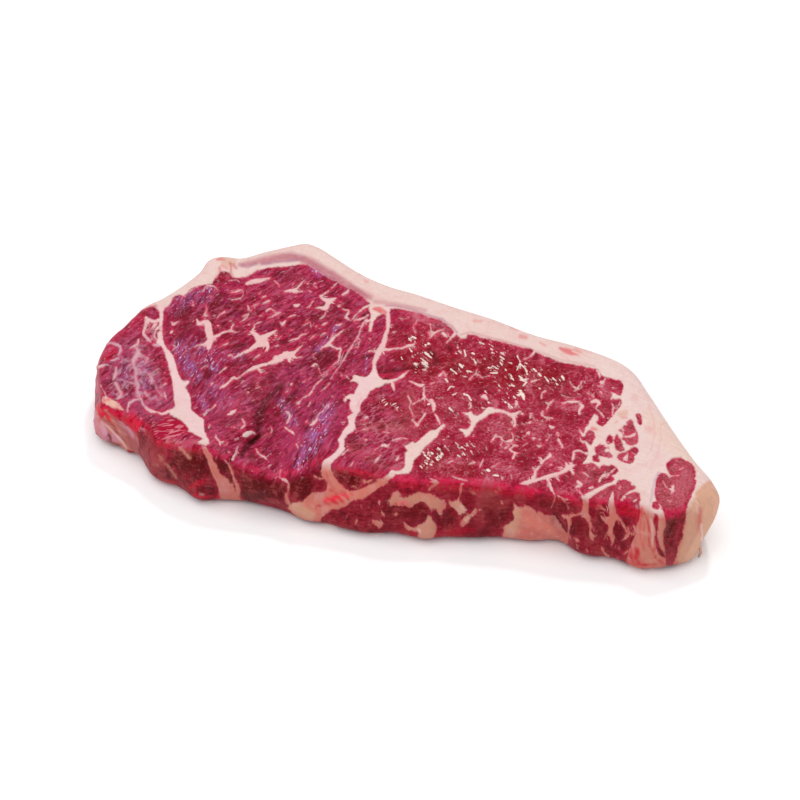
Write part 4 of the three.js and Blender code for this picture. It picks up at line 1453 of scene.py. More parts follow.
class Plane:
    """The pixel positions of all vertices, and distances from routes and outlines drawn in that plane."""

    REACH = 6.0  # pixels round a route or outline in which distances are worked out
    SHORTEST = 1e-6  # pixels, the least that a step counts as
    FAR = 1e3  # pixels, farther than any distance that counts
    KEPT = 1.8  # pixels outside a line over which its half width is kept
    SHRINK = 2  # how fast it shrinks beyond them

    def __init__(self, places):
        self.x = places[:, 0]
        self.y = places[:, 1]

    def near(self, points, reach):
        """The vertices within reach of the box round the points."""
        low, high = points[:, :2].min(axis=0) - reach, points[:, :2].max(axis=0) + reach
        close = (self.x > low[0]) & (self.x < high[0]) & (self.y > low[1]) & (self.y < high[1])
        return np.flatnonzero(close)

    def segment(self, a, b, ids):
        """For the vertices ids: distance past the segment's ends, signed offset beside it and half width."""
        step = b[:2] - a[:2]
        length = max(np.hypot(*step), self.SHORTEST)
        dx, dy = self.x[ids] - a[0], self.y[ids] - a[1]
        along = (dx * step[0] + dy * step[1]) / length
        beside = (dx * step[1] - dy * step[0]) / length
        past = np.maximum(np.maximum(-along, along - length), 0)
        half = mixed(a[2], b[2], np.clip(along / length, 0, 1)) / 2
        return past, beside, half

    def route(self, points, reach):
        """The vertices near a route, the distance to its edge, the offset beside it and its half width."""
        ids = self.near(points, reach + points[:, 2].max() / 2)
        best = np.full(len(ids), self.FAR)
        offset = np.full(len(ids), self.FAR)
        width = np.zeros(len(ids))
        for a, b in zip(points, points[1:]):
            past, beside, half = self.segment(a, b, ids)
            gap = np.hypot(past, beside) - half
            better = gap < best
            best = np.where(better, gap, best)
            offset = np.where(better, beside, offset)
            width = np.where(better, half - past, width)
        return ids, best, offset, width

    def routes(self, block):
        """Over all routes of a block: the offset beside the nearest one and its half width.

        The offset keeps its side, so that a line thinner than the mesh stays sharp. The half width shrinks
        away from the line, so that a change from one line to the next doesn't draw a false one."""
        gap = np.full(len(self.x), self.REACH)
        offset = np.full(len(self.x), self.REACH)
        width = np.full(len(self.x), -self.REACH)
        for line in lines_of(block):
            ids, best, beside, half = self.route(numbers(line), self.REACH)
            better = best < gap[ids]
            chosen = ids[better]
            gap[chosen] = best[better]
            offset[chosen] = beside[better]
            width[chosen] = half[better] - self.SHRINK * np.maximum(best[better] - self.KEPT, 0)
        return offset, width

    def outline(self, points):
        """The vertices near a closed outline, and their distance to it, below zero inside."""
        ids = self.near(points, self.REACH)
        x, y = self.x[ids], self.y[ids]
        best = np.full(len(ids), self.FAR)
        inside = np.zeros(len(ids), dtype=bool)
        for a, b in zip(points, np.roll(points, -1, axis=0)):
            step = b - a
            square = max(step @ step, self.SHORTEST**2)
            t = np.clip(((x - a[0]) * step[0] + (y - a[1]) * step[1]) / square, 0, 1)
            best = np.minimum(best, np.hypot(x - a[0] - t * step[0], y - a[1] - t * step[1]))
            if a[1] != b[1]:
                crosses = (y > min(a[1], b[1])) & (y <= max(a[1], b[1]))
                inside ^= crosses & (x < a[0] + (y - a[1]) * step[0] / step[1])
        return ids, np.where(inside, -best, best)

    def outlines(self, block):
        """Over all outlines of a block: the distance to the nearest, below zero inside any of them."""
        gap = np.full(len(self.x), self.REACH)
        for line in lines_of(block):
            ids, distance = self.outline(numbers(line))
            gap[ids] = np.minimum(gap[ids], distance)
        return gap

    def cover(self, points, softness):
        """The vertices near a route and its cover of each: 1 well inside it, 0 at softness outside it."""
        ids, best, _, _ = self.route(points, softness)
        return ids, 1 - smooth(-softness / 3, softness, best)

    def strongest(self, block):
        """For each vertex the strongest cover by the routes of a block."""
        shares = np.zeros(len(self.x))
        for strength, softness, route in map(route_of, lines_of(block)):
            ids, cover = self.cover(route, softness)
            shares[ids] = np.maximum(shares[ids], cover * strength)
        return shares


HASH_STEPS = np.array([374761393, 668265263, 1442695041])
HASH_FACTOR = 1274126177
HASH_MASK = 0xFFFFFFFF  # keeps 32 bits
HASH_KEPT = 0xFFFF  # the 16 bits of them that give the value
HASH_HALF = HASH_KEPT / 2


def lattice_noise(points, size, seed):
    """Smooth noise from -1 to 1 with cells of the size given, one value for each row of points."""
    scaled = points / size
    corner = np.floor(scaled).astype(np.int64)
    part = scaled - corner
    part = part * part * (3 - 2 * part)
    total = np.zeros(len(points))
    for step in itertools.product((0, 1), repeat=3):
        key = ((corner + step) @ HASH_STEPS + seed * HASH_FACTOR) & HASH_MASK
        key = ((key ^ (key >> 13)) * HASH_FACTOR) & HASH_MASK
        value = ((key ^ (key >> 16)) & HASH_KEPT) / HASH_HALF - 1
        total += value * np.prod(np.where(step, part, 1 - part), axis=1)
    return total


def wobble(points, size, seed):
    """Smooth noise from -1 to 1 for the column and the row of each point."""
    return np.stack([lattice_noise(points, size, seed), lattice_noise(points, size, seed + 1)], axis=-1)


def linear(colour):
    """A colour of 0 to 255 as linear light."""
    value = np.asarray(colour, dtype=float) / 255
    return np.where(value <= 0.04045, value / 12.92, ((value + 0.055) / 1.055) ** 2.4)


# -------------------------------------------------------------------------------------------------------
# The steak: mesh, pattern and colours
# -------------------------------------------------------------------------------------------------------
MM = 0.001
SHOWN_FROM = 0.12  # the cosine to the camera above which a side takes its pattern wholly from the photograph
HIDDEN_INSET = 1.3  # how far inside the rim the hidden sides take their pattern from, at the rim
HIDDEN_SLOPE = 0.04  # and how much further inside for each millimetre below it
HIDDEN_LEAN_TONES = 0.3  # how much of the drawn tones of the lean is left there
SWAY_SIZE = 14  # wavelength, mm, seed, and reaches, px, of the sway that makes the hidden patterns their own
SWAY_SEED = 31
SIDE_SWAY = 3
UNDERSIDE_SWAY = 6
UNDERSIDE_TURNS = (0.62 * math.pi, 0.95 * math.pi)  # over which the side's pattern becomes the underside's
WARP_SIZE = 2.6  # wavelength, mm, seed, and reach, px, of the wobble that makes the drawn lines look grown
WARP_SEED = 7
WARP_REACH = 0.5

SIDE_STARTS = (0.5, 1.25)  # turns over which the upper face becomes the side
SIDE_ENDS = (2.2, 2.9)  # and the side the underside
RIGHT_STARTS = (370, 430)  # columns over which the left muscle's lean becomes the right one's

UPPER_LIGHT = 1.24  # light on the upper face, and on the sides, that the palette colours were seen in
SIDE_LIGHT = 1.0
UPPER_GLOSS = 0.01  # the part of the seen colour that is reflection, on the upper face and on the sides
SIDE_GLOSS = 0.02
DARKEST, LIGHTEST = 0.002, 0.95

# Distances from the fat's edge in pixels, below zero inside
THIN_FAT = (-0.5, 1.5)  # where wide fat gives way to marbling
PLUMP_FAT = (1.5, -1.5)  # where fat swells to its full height

WEB_SHARE = 0.15  # how much of the pale network shows where no route sets it
WEB_LOST = 0.7  # the part of it that is lost on the sides

# Heights of the fine relief in millimetres: the fat stands proud, and the lean swells in bundles of two
# sizes, each with its size, seed and height
FAT_HEIGHT = 0.22
BUNDLE_SIZES = [
    [4.5, 11, 0.16],
    [1.9, 12, 0.09],
]
FLAT_BELOW = (2.0, 2.9)  # turns over which the relief dies out, so that the underside stays flat


def pattern_places(meat):
    """Where each vertex lies in the photograph's plane, and how far it shows there, 0 to 1."""
    seen = photo_pixels(meat.points * MM)
    shows = smooth(0, SHOWN_FROM, meat.normals() @ BACK)
    shows[meat.turns == 0] = 1
    shows[meat.hanging] = 1
    depth = np.maximum(FACE_HEIGHT - meat.points[:, 2], 0)
    inset = meat.points - meat.outs * (HIDDEN_INSET + HIDDEN_SLOPE * depth)[:, None]
    inset[:, 2] = FACE_HEIGHT
    sway = wobble(meat.points, SWAY_SIZE, SWAY_SEED)
    beside = photo_pixels(inset * MM) + SIDE_SWAY * sway
    above = meat.points.copy()
    above[:, 2] = FACE_HEIGHT
    under = photo_pixels(above * MM) + UNDERSIDE_SWAY * sway
    hidden = mixed(beside, under, smooth(*UNDERSIDE_TURNS, meat.turns)[:, None])
    return mixed(hidden, seen, shows[:, None]), shows


def painted(plane, base, block, albedo, shows):
    """Base colours with the tones of a block laid over them in turn, where each vertex shows them."""
    colours = base.copy()
    for line in lines_of(block):
        name, tone = line.split(" ", 1)
        strength, softness, route = route_of(tone)
        ids, cover = plane.cover(route, softness)
        share = cover * strength * shows[ids]
        colours[ids] = mixed(colours[ids], albedo(name)[ids], share[:, None])
    return colours


def meat_colours(plane, fat, side, right, shows):
    """The colours of the lean and the fat at each vertex, with the photograph's light taken out but for the
    painted light and shade.
    """
    side = side[:, None]
    light = mixed(UPPER_LIGHT, SIDE_LIGHT, side)
    gloss = mixed(UPPER_GLOSS, SIDE_GLOSS, side)

    def albedo(name):
        return np.clip((linear(PALETTE[name]) - gloss) / light, DARKEST, LIGHTEST)

    lean = mixed(albedo("left_lean"), albedo("right_lean"), right[:, None])
    lean = mixed(lean, albedo("side_lean"), side)
    lean = painted(plane, lean, LEAN_TONES, albedo, np.maximum(shows, HIDDEN_LEAN_TONES))
    side_fat = mixed(albedo("cap_side"), albedo("side_fat"), shows[:, None])
    wide_fat = mixed(albedo("cap_fat"), side_fat, side)
    wide_fat = painted(plane, wide_fat, FAT_TONES, albedo, shows)
    thin_fat = painted(plane, albedo("vein_fat"), VEIN_TONES, albedo, shows)
    thin = smooth(*THIN_FAT, fat)[:, None] * (1 - side)
    return lean, mixed(wide_fat, thin_fat, thin)


def web_shares(plane, side):
    """How much of the pale network between the bundles shows at each vertex."""
    web = WEB_SHARE * (1 - WEB_LOST * side)
    for strength, softness, route in map(route_of, lines_of(WEB_ROUTES)):
        ids, cover = plane.cover(route, softness)
        web[ids] = mixed(web[ids], strength, cover)
    return web


def fine_relief(meat, plane, fat, vein_gap):
    """How far each vertex stands out from the CAD form, in millimetres."""
    raised = np.zeros(len(meat.points))
    for height, softness, route in map(route_of, lines_of(RELIEF_ROUTES)):
        ids, cover = plane.cover(route, softness)
        raised[ids] += cover * height
    plump = smooth(*PLUMP_FAT, np.minimum(fat, vein_gap))
    raised += FAT_HEIGHT * plump
    for size, seed, height in BUNDLE_SIZES:
        raised += lattice_noise(meat.points, size, seed) * height * (1 - plump)
    return raised * (1 - smooth(*FLAT_BELOW, meat.turns))


def build_steak():
    meat = MeatMesh()
    places, shows = pattern_places(meat)
    plane = Plane(places + WARP_REACH * wobble(meat.points, WARP_SIZE, WARP_SEED))
    side = smooth(*SIDE_STARTS, meat.turns) * (1 - smooth(*SIDE_ENDS, meat.turns))
    right = smooth(*RIGHT_STARTS, plane.x)
    fat = np.maximum(plane.outlines(FAT_PATCHES), -plane.outlines(LEAN_ISLANDS))
    vein_offset, vein_width = plane.routes(FAT_ROUTES)
    glint_offset, glint_width = plane.routes(GLINT_ROUTES)
    lean, fat_colour = meat_colours(plane, fat, side, right, shows)
    raised = fine_relief(meat, plane, fat, np.abs(vein_offset) - vein_width)
    points = meat.points + meat.normals() * raised[:, None]

    mesh = bpy.data.meshes.new("steak")
    mesh.from_pydata((points * MM).tolist(), [], meat.faces)
    mesh.update()
    mesh.shade_smooth()
    values = {
        "fat": fat,
        "vein_offset": vein_offset,
        "vein_width": vein_width,
        "glint_offset": glint_offset,
        "glint_width": glint_width,
        "sheen": plane.strongest(SHEEN_ROUTES),
        "haze": plane.strongest(HAZE_ROUTES),
        "wet": plane.strongest(WET_ROUTES),
        "steep": plane.strongest(STEEP_ROUTES),
        "stripes": plane.strongest(STRIPE_ROUTES),
        "shade": plane.strongest(SHADE_ROUTES),
        "web": web_shares(plane, side),
        "side": side,
        "right": right,
    }
    for name, value in values.items():
        layer = mesh.attributes.new(name, "FLOAT", "POINT")
        layer.data.foreach_set("value", value.astype(np.float32))
    for name, colours in (("lean", lean), ("fat_colour", fat_colour)):
        layer = mesh.attributes.new(name, "FLOAT_COLOR", "POINT")
        opaque = np.column_stack([colours, np.ones(len(colours))])
        layer.data.foreach_set("color", opaque.astype(np.float32).ravel())
    steak = bpy.data.objects.new("steak", mesh)
    bpy.context.scene.collection.objects.link(steak)
    mesh.materials.append(meat_material())
    return steak


# -------------------------------------------------------------------------------------------------------
# Materials
# -------------------------------------------------------------------------------------------------------
class Graph:
    """Short calls for building a material's nodes. Sizes are in millimetres and angles in degrees."""

    def __init__(self, name):
        self.material = bpy.data.materials.new(name)
        self.material.use_nodes = True
        self.tree = self.material.node_tree
        self.tree.nodes.clear()

    def put(self, socket, value):
        if isinstance(value, bpy.types.NodeSocket):
            self.tree.links.new(value, socket)
        else:
            socket.default_value = value

    def made(self, kind, inputs, output=0, **settings):
        """An output of a new node of the kind, with the settings and the inputs given."""
        node = self.tree.nodes.new(kind)
        for key, value in settings.items():
            setattr(node, key, value)
        for key, value in inputs.items():
            self.put(node.inputs[key], value)
        return node.outputs[output]

    def finish(self, inputs):
        """The material, with a principled shader that has the inputs given."""
        shader = self.made("ShaderNodeBsdfPrincipled", inputs)
        end = self.tree.nodes.new("ShaderNodeOutputMaterial")
        self.put(end.inputs["Surface"], shader)
        return self.material

    def math(self, operation, a, b=0.0):
        return self.made("ShaderNodeMath", {0: a, 1: b}, operation=operation)

    def times(self, first, *others):
        for other in others:
            first = self.math("MULTIPLY", first, other)
        return first

    def plus(self, first, *others):
        for other in others:
            first = self.math("ADD", first, other)
        return first

    def minus(self, a, b):
        return self.math("SUBTRACT", a, b)

    def most(self, a, b):
        return self.math("MAXIMUM", a, b)

    def ramp(self, value, low, high, to_low=0.0, to_high=1.0, kind="SMOOTHSTEP"):
        """The value between low and high as to_low to to_high, along an S unless the kind is another."""
        inputs = {"Value": value, "From Min": low, "From Max": high, "To Min": to_low, "To Max": to_high}
        return self.made("ShaderNodeMapRange", inputs, "Result", interpolation_type=kind)

    def even(self, value, low, high, to_low=0.0, to_high=1.0):
        """The same along a straight line."""
        return self.ramp(value, low, high, to_low, to_high, "LINEAR")

    def over(self, share, at_none, at_full):
        """A number that goes from at_none to at_full along an S while the share grows from 0 to 1."""
        return self.ramp(share, 0.0, 1.0, at_none, at_full)

    def mix(self, share, a, b):
        """A colour that is the share of the way from a to b."""
        return self.made("ShaderNodeMix", {0: share, 6: a, 7: b}, 2, data_type="RGBA")

    def blend(self, share, a, b):
        """A number that is the share of the way from a to b."""
        return self.made("ShaderNodeMix", {0: share, 2: a, 3: b}, data_type="FLOAT")

    def scaled(self, colour, factor):
        return self.made("ShaderNodeVectorMath", {0: colour, "Scale": factor}, operation="SCALE")

    def attribute(self, name, output="Fac"):
        return self.made("ShaderNodeAttribute", {}, output, attribute_name=name)

    def cells(self, place, size):
        """A random tone for each cell and the distance to the cell's border, as a share of the size."""
        inputs = {"Vector": place, "Scale": 1 / (size * MM)}
        colour = self.made("ShaderNodeTexVoronoi", inputs, "Color", feature="F1")
        gap = self.made("ShaderNodeTexVoronoi", inputs, "Distance", feature="DISTANCE_TO_EDGE")
        return self.made("ShaderNodeSeparateColor", {0: colour}), gap

    def noise(self, place, size, detail=2.0, roughness=0.5, output="Fac"):
        inputs = {"Vector": place, "Scale": 1 / (size * MM), "Detail": detail, "Roughness": roughness}
        return self.made("ShaderNodeTexNoise", inputs, output)

    def stretched(self, place, angle, along):
        """Coordinates turned by the angle and drawn out along it, for fibres."""
        inputs = {"Vector": place, "Rotation": (0, 0, math.radians(angle)), "Scale": (along, 1, 1)}
        return self.made("ShaderNodeMapping", inputs, vector_type="TEXTURE")


def node_colour(name):
    """A node's colour for a palette colour as it looks on the upper face."""
    return (*np.clip((linear(PALETTE[name]) - UPPER_GLOSS) / UPPER_LIGHT, DARKEST, LIGHTEST), 1.0)


# Directions in the upper face, in degrees from the steak's length: the fibres of each part, the violet
# sheen, the stripes on the left end, the growth lines of the cap and the specks of light
LEFT_FIBRES = 54
STEEP_FIBRES = 80
RIGHT_FIBRES = 40
SHEEN_LINES = 78
STRIPE_LINES = 14
GROWTH_LINES = -18
SPECK_LINES = -48

NOISE_RANGE = (0.35, 0.65)  # between which most values of a noise lie
WIDE_NOISE_RANGE = (0.3, 0.7)

GRAIN_THROUGH = 0.45  # the grain runs through the thickness, so the pattern is drawn out along the height
STRATA_ALONG = 0.45  # the streaks on the side are drawn out along it
BORDER_SWAY = 1.5 * MM  # how far the bundles' borders wander

# How strongly each layer darkens and lightens the lean
FIBRE_TONE = (0.62, 0.65)  # on the left, and on the right and the side
BUNDLE_TONE = 0.6
CELL_TONE = 0.35
RIGHT_TONE = 0.8  # what is left of all three on the right
DARK_SHARE = 0.9  # how dark and how light the fibres get at most
LIGHT_SHARE = 0.85
WET_LIGHT = 0.2  # the part of the light tone that is left where the lean is wet

LEAN_ROUGHNESS = (0.3, 0.46)  # from the dark fibres to the light ones
WET_SMOOTHNESS = 0.2  # how much less of it there is where the lean is wet
FAT_ROUGHNESS = 0.45

# The bump of the material: its depth in metres, and the share of each layer in it
BUMP_DEPTH = 0.6 * MM
BUMP_STRENGTH = 0.55
FIBRE_BUMP = 0.4
BUNDLE_BUMP = 0.7
FAT_BUMP = 0.05
GLINT_BUMP = 0.2

# The edge of the fat, in pixels of the photograph
FINE_GRIT = 2.4  # how far fine and coarse grit move it
COARSE_GRIT = (2.2, 5.5)  # on the upper face and on the side
PATCH_MARGIN = 0.4  # how far the wide fat reaches past its outlines
FAT_EDGE = (0.9, -1.2)  # outside and inside it, where lean turns to fat
GLINT_GRIT = 3.0  # how far grit moves the edge of a speck of light
GLINT_EDGE = (0.6, -0.7)  # and where that fades


class MeatGraph(Graph):
    """The steak's material. It reads what the mesh stores: shares, and distances in photograph pixels."""

    def __init__(self):
        super().__init__("raw_beef")
        self.object_place = self.made("ShaderNodeTexCoord", {}, "Object")
        self.place = self.drawn_out(self.object_place, (1, 1, GRAIN_THROUGH))
        self.side = self.attribute("side")
        self.right = self.attribute("right")
        self.steep = self.attribute("steep")
        self.wet = self.attribute("wet")
        self.side_or_right = self.most(self.side, self.right)
        self.fine_grit = self.minus(self.noise(self.place, 0.8, 3, 0.65), 0.5)
        sway = self.noise(self.place, 1.5, 3, 0.6, "Color")
        inputs = {0: sway, 1: (BORDER_SWAY, BORDER_SWAY, BORDER_SWAY), 2: self.place}
        self.moved = self.made("ShaderNodeVectorMath", inputs, operation="MULTIPLY_ADD")

    def drawn_out(self, place, factors):
        return self.made("ShaderNodeVectorMath", {0: place, 1: factors}, operation="MULTIPLY")

    def mottle(self, size, detail=2.0, roughness=0.5):
        """Noise of the size given, drawn out through the thickness."""
        return self.noise(self.place, size, detail, roughness)

    def fibres(self, angle, along, size, detail=2.0, roughness=0.5):
        """Such noise drawn out along the angle."""
        return self.noise(self.stretched(self.place, angle, along), size, detail, roughness)

    def bundle_cells(self, angle, along, size):
        """Tones and borders of cells drawn out along the angle."""
        return self.cells(self.stretched(self.moved, angle, along), size)

    def by_part(self, left, steep, right):
        """The value for the part of the face: left, left with steep fibres, or right."""
        return self.blend(self.right, self.blend(self.steep, left, steep), right)

    def tinted(self, base, name, *shares):
        """The base colour with a palette colour laid over it by the product of the shares."""
        return self.mix(self.times(*shares), base, node_colour(name))

    def fat_extent(self):
        """The share of fat, and the distance to the nearest fat, roughened a little."""
        grit = self.minus(self.mottle(2.0, 3, 0.6), 0.5)
        grit = self.times(grit, self.over(self.side, *COARSE_GRIT))
        jitter = self.plus(self.times(self.fine_grit, FINE_GRIT), grit)
        half_width = self.attribute("vein_width")
        vein = self.minus(self.math("ABSOLUTE", self.attribute("vein_offset")), half_width)
        patch = self.minus(self.attribute("fat"), PATCH_MARGIN)
        distance = self.plus(self.math("MINIMUM", patch, vein), jitter)
        soften = self.ramp(self.attribute("haze"), 0.0, 0.6, 1.0, 0.5)
        patch_share = self.ramp(self.times(self.plus(patch, jitter), soften), *FAT_EDGE)
        vein_share = self.ramp(self.times(self.plus(vein, jitter), soften), *FAT_EDGE)
        # A thin line of fat is partly sunk in the lean, more in some places than in others
        sunk = self.ramp(self.mottle(1.8), 0.35, 0.6, 0.25, 0.8)
        shown = self.ramp(half_width, 0.3, 1.3, sunk, 1.0)
        return self.most(patch_share, self.times(vein_share, shown)), distance

    def lean_fibres(self):
        """The fibres of each part, and on the side streaks along it."""
        left = self.fibres(LEFT_FIBRES, along=1.8, size=0.85, detail=3, roughness=0.6)
        steep = self.fibres(STEEP_FIBRES, along=5.0, size=0.9, detail=4, roughness=0.65)
        right = self.fibres(RIGHT_FIBRES, along=1.2, size=0.85, detail=3, roughness=0.6)
        strata = self.drawn_out(self.object_place, (STRATA_ALONG, STRATA_ALONG, 1))
        return self.blend(self.side, self.by_part(left, steep, right), self.noise(strata, 0.9, 4, 0.7))

    def lean_colour(self, fibres, bundles, distance):
        """The lean: bundles of fibres, each with its own tone, streaked along the fibres."""
        left_tone, left_gap = self.bundle_cells(LEFT_FIBRES, along=2.6, size=1.7)
        steep_tone, steep_gap = self.bundle_cells(STEEP_FIBRES, along=3.2, size=1.5)
        right_tone, right_gap = self.bundle_cells(RIGHT_FIBRES, along=1.2, size=4.6)
        cell_tone = self.by_part(left_tone, steep_tone, right_tone)
        gap = self.by_part(left_gap, steep_gap, right_gap)
        depth = self.plus(
            self.times(self.even(fibres, *NOISE_RANGE, -1.0), self.over(self.side_or_right, *FIBRE_TONE)),
            self.even(bundles, *NOISE_RANGE, -BUNDLE_TONE, BUNDLE_TONE),
            self.even(cell_tone, 0.0, 1.0, -CELL_TONE, CELL_TONE),
        )
        depth = self.times(depth, self.over(self.right, 1.0, RIGHT_TONE))
        left = self.over(self.side_or_right, 1.0, 0.0)

        purple = self.ramp(self.mottle(6.0, 3, 0.6), 0.5, 0.66, 0.0, 0.5)
        lean = self.tinted(self.attribute("lean", "Color"), "purple_lean", purple, left)
        dark = self.mix(self.right, node_colour("left_dark"), node_colour("right_dark"))
        dark = self.mix(self.side, dark, node_colour("side_dark"))
        lean = self.mix(self.even(depth, 0.0, -1.0, 0.0, DARK_SHARE), lean, dark)
        light = self.mix(self.right, node_colour("left_light"), node_colour("right_light"))
        light = self.mix(self.side, light, node_colour("side_light"))
        light_share = self.even(depth, 0.0, 1.0, 0.0, LIGHT_SHARE)
        lean = self.mix(self.times(light_share, self.over(self.wet, 1.0, WET_LIGHT)), lean, light)

        # Left of the middle, painted shade in the grooves between the bundles and painted light on the
        # ridges between them
        left_folds = self.fibres(LEFT_FIBRES, along=4.0, size=1.5)
        steep_folds = self.fibres(STEEP_FIBRES, along=7.0, size=1.5)
        folds = self.blend(self.steep, left_folds, steep_folds)
        lean = self.tinted(lean, "furrow_shade", self.ramp(folds, 0.45, 0.35, 0.0, 0.65), left)
        lean = self.tinted(lean, "ridge_light", self.ramp(folds, 0.57, 0.67, 0.0, 0.45), left)

        # The lean is brighter in patches beside the fat
        patches = self.ramp(self.mottle(2.2), 0.42, 0.6)
        strength = self.over(self.side, 0.65, 0.3)
        lean = self.tinted(lean, "fringe_red", self.ramp(distance, 4.5, 0.5), patches, strength)

        # Pale connective lines between the bundles, and flecks of fat along the fibres
        gate = self.ramp(self.mottle(2.6, 3, 0.6), 0.36, 0.6, 0.15, 1.0)
        lines = self.ramp(gap, self.even(self.right, 0.0, 1.0, 0.16, 0.17), 0.0)
        lean = self.tinted(lean, "web_pink", lines, gate, self.attribute("web"))
        left_flecks = self.fibres(LEFT_FIBRES, along=2.2, size=1.0, detail=2, roughness=0.55)
        right_flecks = self.fibres(RIGHT_FIBRES, along=1.4, size=1.0, detail=2, roughness=0.6)
        flecks = self.ramp(self.blend(self.right, left_flecks, right_flecks), 0.64, 0.72, 0.0, 0.7)
        return self.tinted(lean, "fleck_pink", flecks, self.over(self.side, 1.0, 0.25))

    def sheen_and_membranes(self, lean):
        """The lean with its painted violet sheen and sparkles of reflection, and with the haze and sinew
        ridges of the left end.
        """
        # Painted reflection on the moist lean: violet streaks and pale sparkles
        sheen = self.attribute("sheen")
        streaks = self.fibres(SHEEN_LINES, along=6.0, size=0.8, detail=3, roughness=0.6)
        lean = self.tinted(lean, "sheen_violet", sheen, self.ramp(streaks, 0.44, 0.62), 0.75)
        sheen_sparkles = self.ramp(self.fibres(SHEEN_LINES, along=2.5, size=0.7), 0.6, 0.68)
        lean = self.tinted(lean, "sheen_pearl", sheen_sparkles, sheen)
        _, haze_gap = self.cells(self.moved, 3.0)
        threads = self.ramp(haze_gap, 0.32, 0.0)
        clouds = self.ramp(self.mottle(2.4, 3), 0.45, 0.6)
        lean = self.tinted(lean, "haze_lilac", threads, clouds, self.attribute("haze"))
        striped = self.attribute("stripes")
        ridges = self.ramp(self.fibres(STRIPE_LINES, along=6.0, size=0.75), 0.49, 0.58)
        lean = self.tinted(lean, "stripe_red", striped, 0.9)
        return self.tinted(lean, "stripe_pale", ridges, striped, 0.8)

    def fat_colour(self):
        """The fat: soft mottling, a little pinker in patches, with faint growth lines along the cap."""
        growth = self.fibres(GROWTH_LINES, along=7.0, size=1.2, detail=3, roughness=0.6)
        fat = self.attribute("fat_colour", "Color")
        fat = self.tinted(fat, "growth_pink", self.ramp(growth, 0.5, 0.75, 0.0, 0.35))
        fat = self.tinted(fat, "fat_blush", self.ramp(self.mottle(5.0, 3), 0.45, 0.75, 0.0, 0.3))
        return self.scaled(fat, self.even(self.mottle(1.3, 3, 0.6), *WIDE_NOISE_RANGE, 0.94, 1.04))

    def glints(self):
        """Specks of light on the wet lean: the drawn ones, and finer ones between them."""
        offset = self.math("ABSOLUTE", self.attribute("glint_offset"))
        drawn = self.minus(offset, self.attribute("glint_width"))
        drawn = self.ramp(self.plus(drawn, self.times(self.fine_grit, GLINT_GRIT)), *GLINT_EDGE)
        specks = self.ramp(self.fibres(SPECK_LINES, along=2.3, size=0.95), 0.6, 0.66)
        groups = self.ramp(self.mottle(4.0), 0.42, 0.56)
        return self.most(drawn, self.times(specks, groups, self.wet, 0.85))


def meat_material():
    g = MeatGraph()
    fat_share, distance = g.fat_extent()
    fibres = g.lean_fibres()
    bundles = g.fibres(LEFT_FIBRES, along=1.5, size=7.0, detail=5, roughness=0.65)
    lean = g.sheen_and_membranes(g.lean_colour(fibres, bundles, distance))
    colour = g.mix(fat_share, lean, g.fat_colour())
    # Painted shade in the crevices that no light reaches
    colour = g.tinted(colour, "crevice_shade", g.attribute("shade"))
    # Painted shade in the fine grooves of the wet lean
    furrows = g.ramp(g.fibres(SPECK_LINES, along=2.0, size=1.1), 0.46, 0.34)
    colour = g.tinted(colour, "wet_furrow_shade", furrows, g.wet, 0.6, g.minus(1.0, fat_share))
    # Painted specks of light on the wet lean
    glints = g.glints()
    colour = g.tinted(colour, "glint", glints, 0.95)

    lean_roughness = g.even(fibres, *WIDE_NOISE_RANGE, *LEAN_ROUGHNESS)
    lean_roughness = g.minus(lean_roughness, g.times(g.wet, WET_SMOOTHNESS))
    height = g.plus(
        g.times(fibres, FIBRE_BUMP),
        g.times(bundles, BUNDLE_BUMP),
        g.times(fat_share, FAT_BUMP),
        g.times(glints, GLINT_BUMP),
    )
    bump = {"Strength": BUMP_STRENGTH, "Distance": BUMP_DEPTH, "Height": height}
    return g.finish({
        "Base Color": colour,
        "Roughness": g.blend(fat_share, lean_roughness, FAT_ROUGHNESS),
        "Normal": g.made("ShaderNodeBump", bump),
        "IOR": 1.38,
        "Specular IOR Level": 0.1,
    })


# -------------------------------------------------------------------------------------------------------
# Studio, in metres
# -------------------------------------------------------------------------------------------------------
FLOOR_HALF = 4.0
FLOOR_WHITE = (0.96, 0.96, 0.96, 1)
SKY_WHITE = (0.95, 0.97, 1.0, 1)
SKY_LEVEL = 0.58


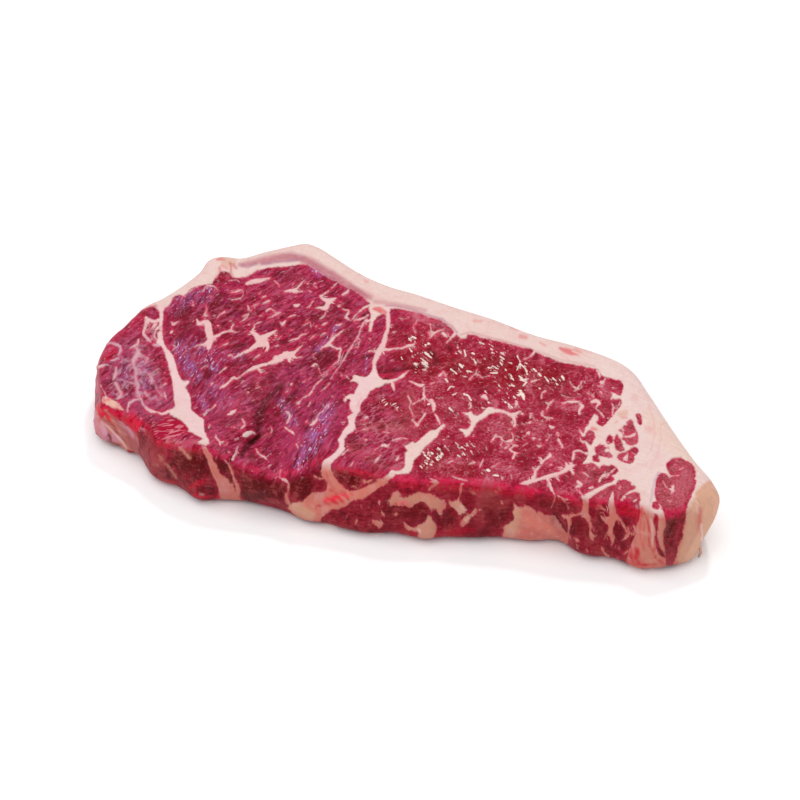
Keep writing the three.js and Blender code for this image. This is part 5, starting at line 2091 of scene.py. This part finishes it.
def add_floor():
    corners = [(x * FLOOR_HALF, y * FLOOR_HALF, 0) for x, y in ((-1, -1), (1, -1), (1, 1), (-1, 1))]
    mesh = bpy.data.meshes.new("floor")
    mesh.from_pydata(corners, [], [(0, 1, 2, 3)])
    floor = bpy.data.objects.new("floor", mesh)
    bpy.context.scene.collection.objects.link(floor)
    look = {"Base Color": FLOOR_WHITE, "Roughness": 0.9, "Specular IOR Level": 0.1}
    mesh.materials.append(Graph("studio_floor").finish(look))


def add_area_light(name, place, size, watts, colour):
    """A square area light that points at the middle of the steak's underside."""
    data = bpy.data.lights.new(name, "AREA")
    data.size = size
    data.energy = watts
    data.color = colour
    light = bpy.data.objects.new(name, data)
    bpy.context.scene.collection.objects.link(light)
    away = np.array(place, dtype=float)
    away /= np.linalg.norm(away)
    side = np.cross((0.0, 1.0, 0.001), away)  # a hair off the Y axis, which a light may lie on
    side /= np.linalg.norm(side)
    turned = np.column_stack([side, np.cross(away, side), away])
    light.matrix_world = Matrix.Translation(place) @ Matrix(turned.tolist()).to_4x4()


def add_world():
    world = bpy.data.worlds.new("studio")
    world.use_nodes = True
    background = world.node_tree.nodes["Background"]
    background.inputs["Color"].default_value = SKY_WHITE
    background.inputs["Strength"].default_value = SKY_LEVEL
    bpy.context.scene.world = world


def add_camera():
    data = bpy.data.cameras.new("camera")
    data.sensor_width = SENSOR_WIDTH
    data.lens = FOCAL_PIXELS / IMAGE_SIZE * SENSOR_WIDTH
    camera = bpy.data.objects.new("camera", data)
    bpy.context.scene.collection.objects.link(camera)
    turned = Matrix(np.column_stack([RIGHT, UP, BACK]).tolist()).to_4x4()
    camera.matrix_world = Matrix.Translation(CAMERA_PLACE.tolist()) @ turned
    bpy.context.scene.camera = camera


add_camera()
steak = build_steak()
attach(steak, "root")
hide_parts("sirloin_steak")
add_floor()
add_area_light("key", place=(-0.3, -0.3, 1.6), size=1.8, watts=19, colour=(1.0, 0.99, 0.98))
add_area_light("sparkle", place=(0.1, 0.6, 1.1), size=0.12, watts=3.4, colour=(1.0, 0.97, 0.94))
add_world()
bpy.context.scene.view_settings.view_transform = "Standard"
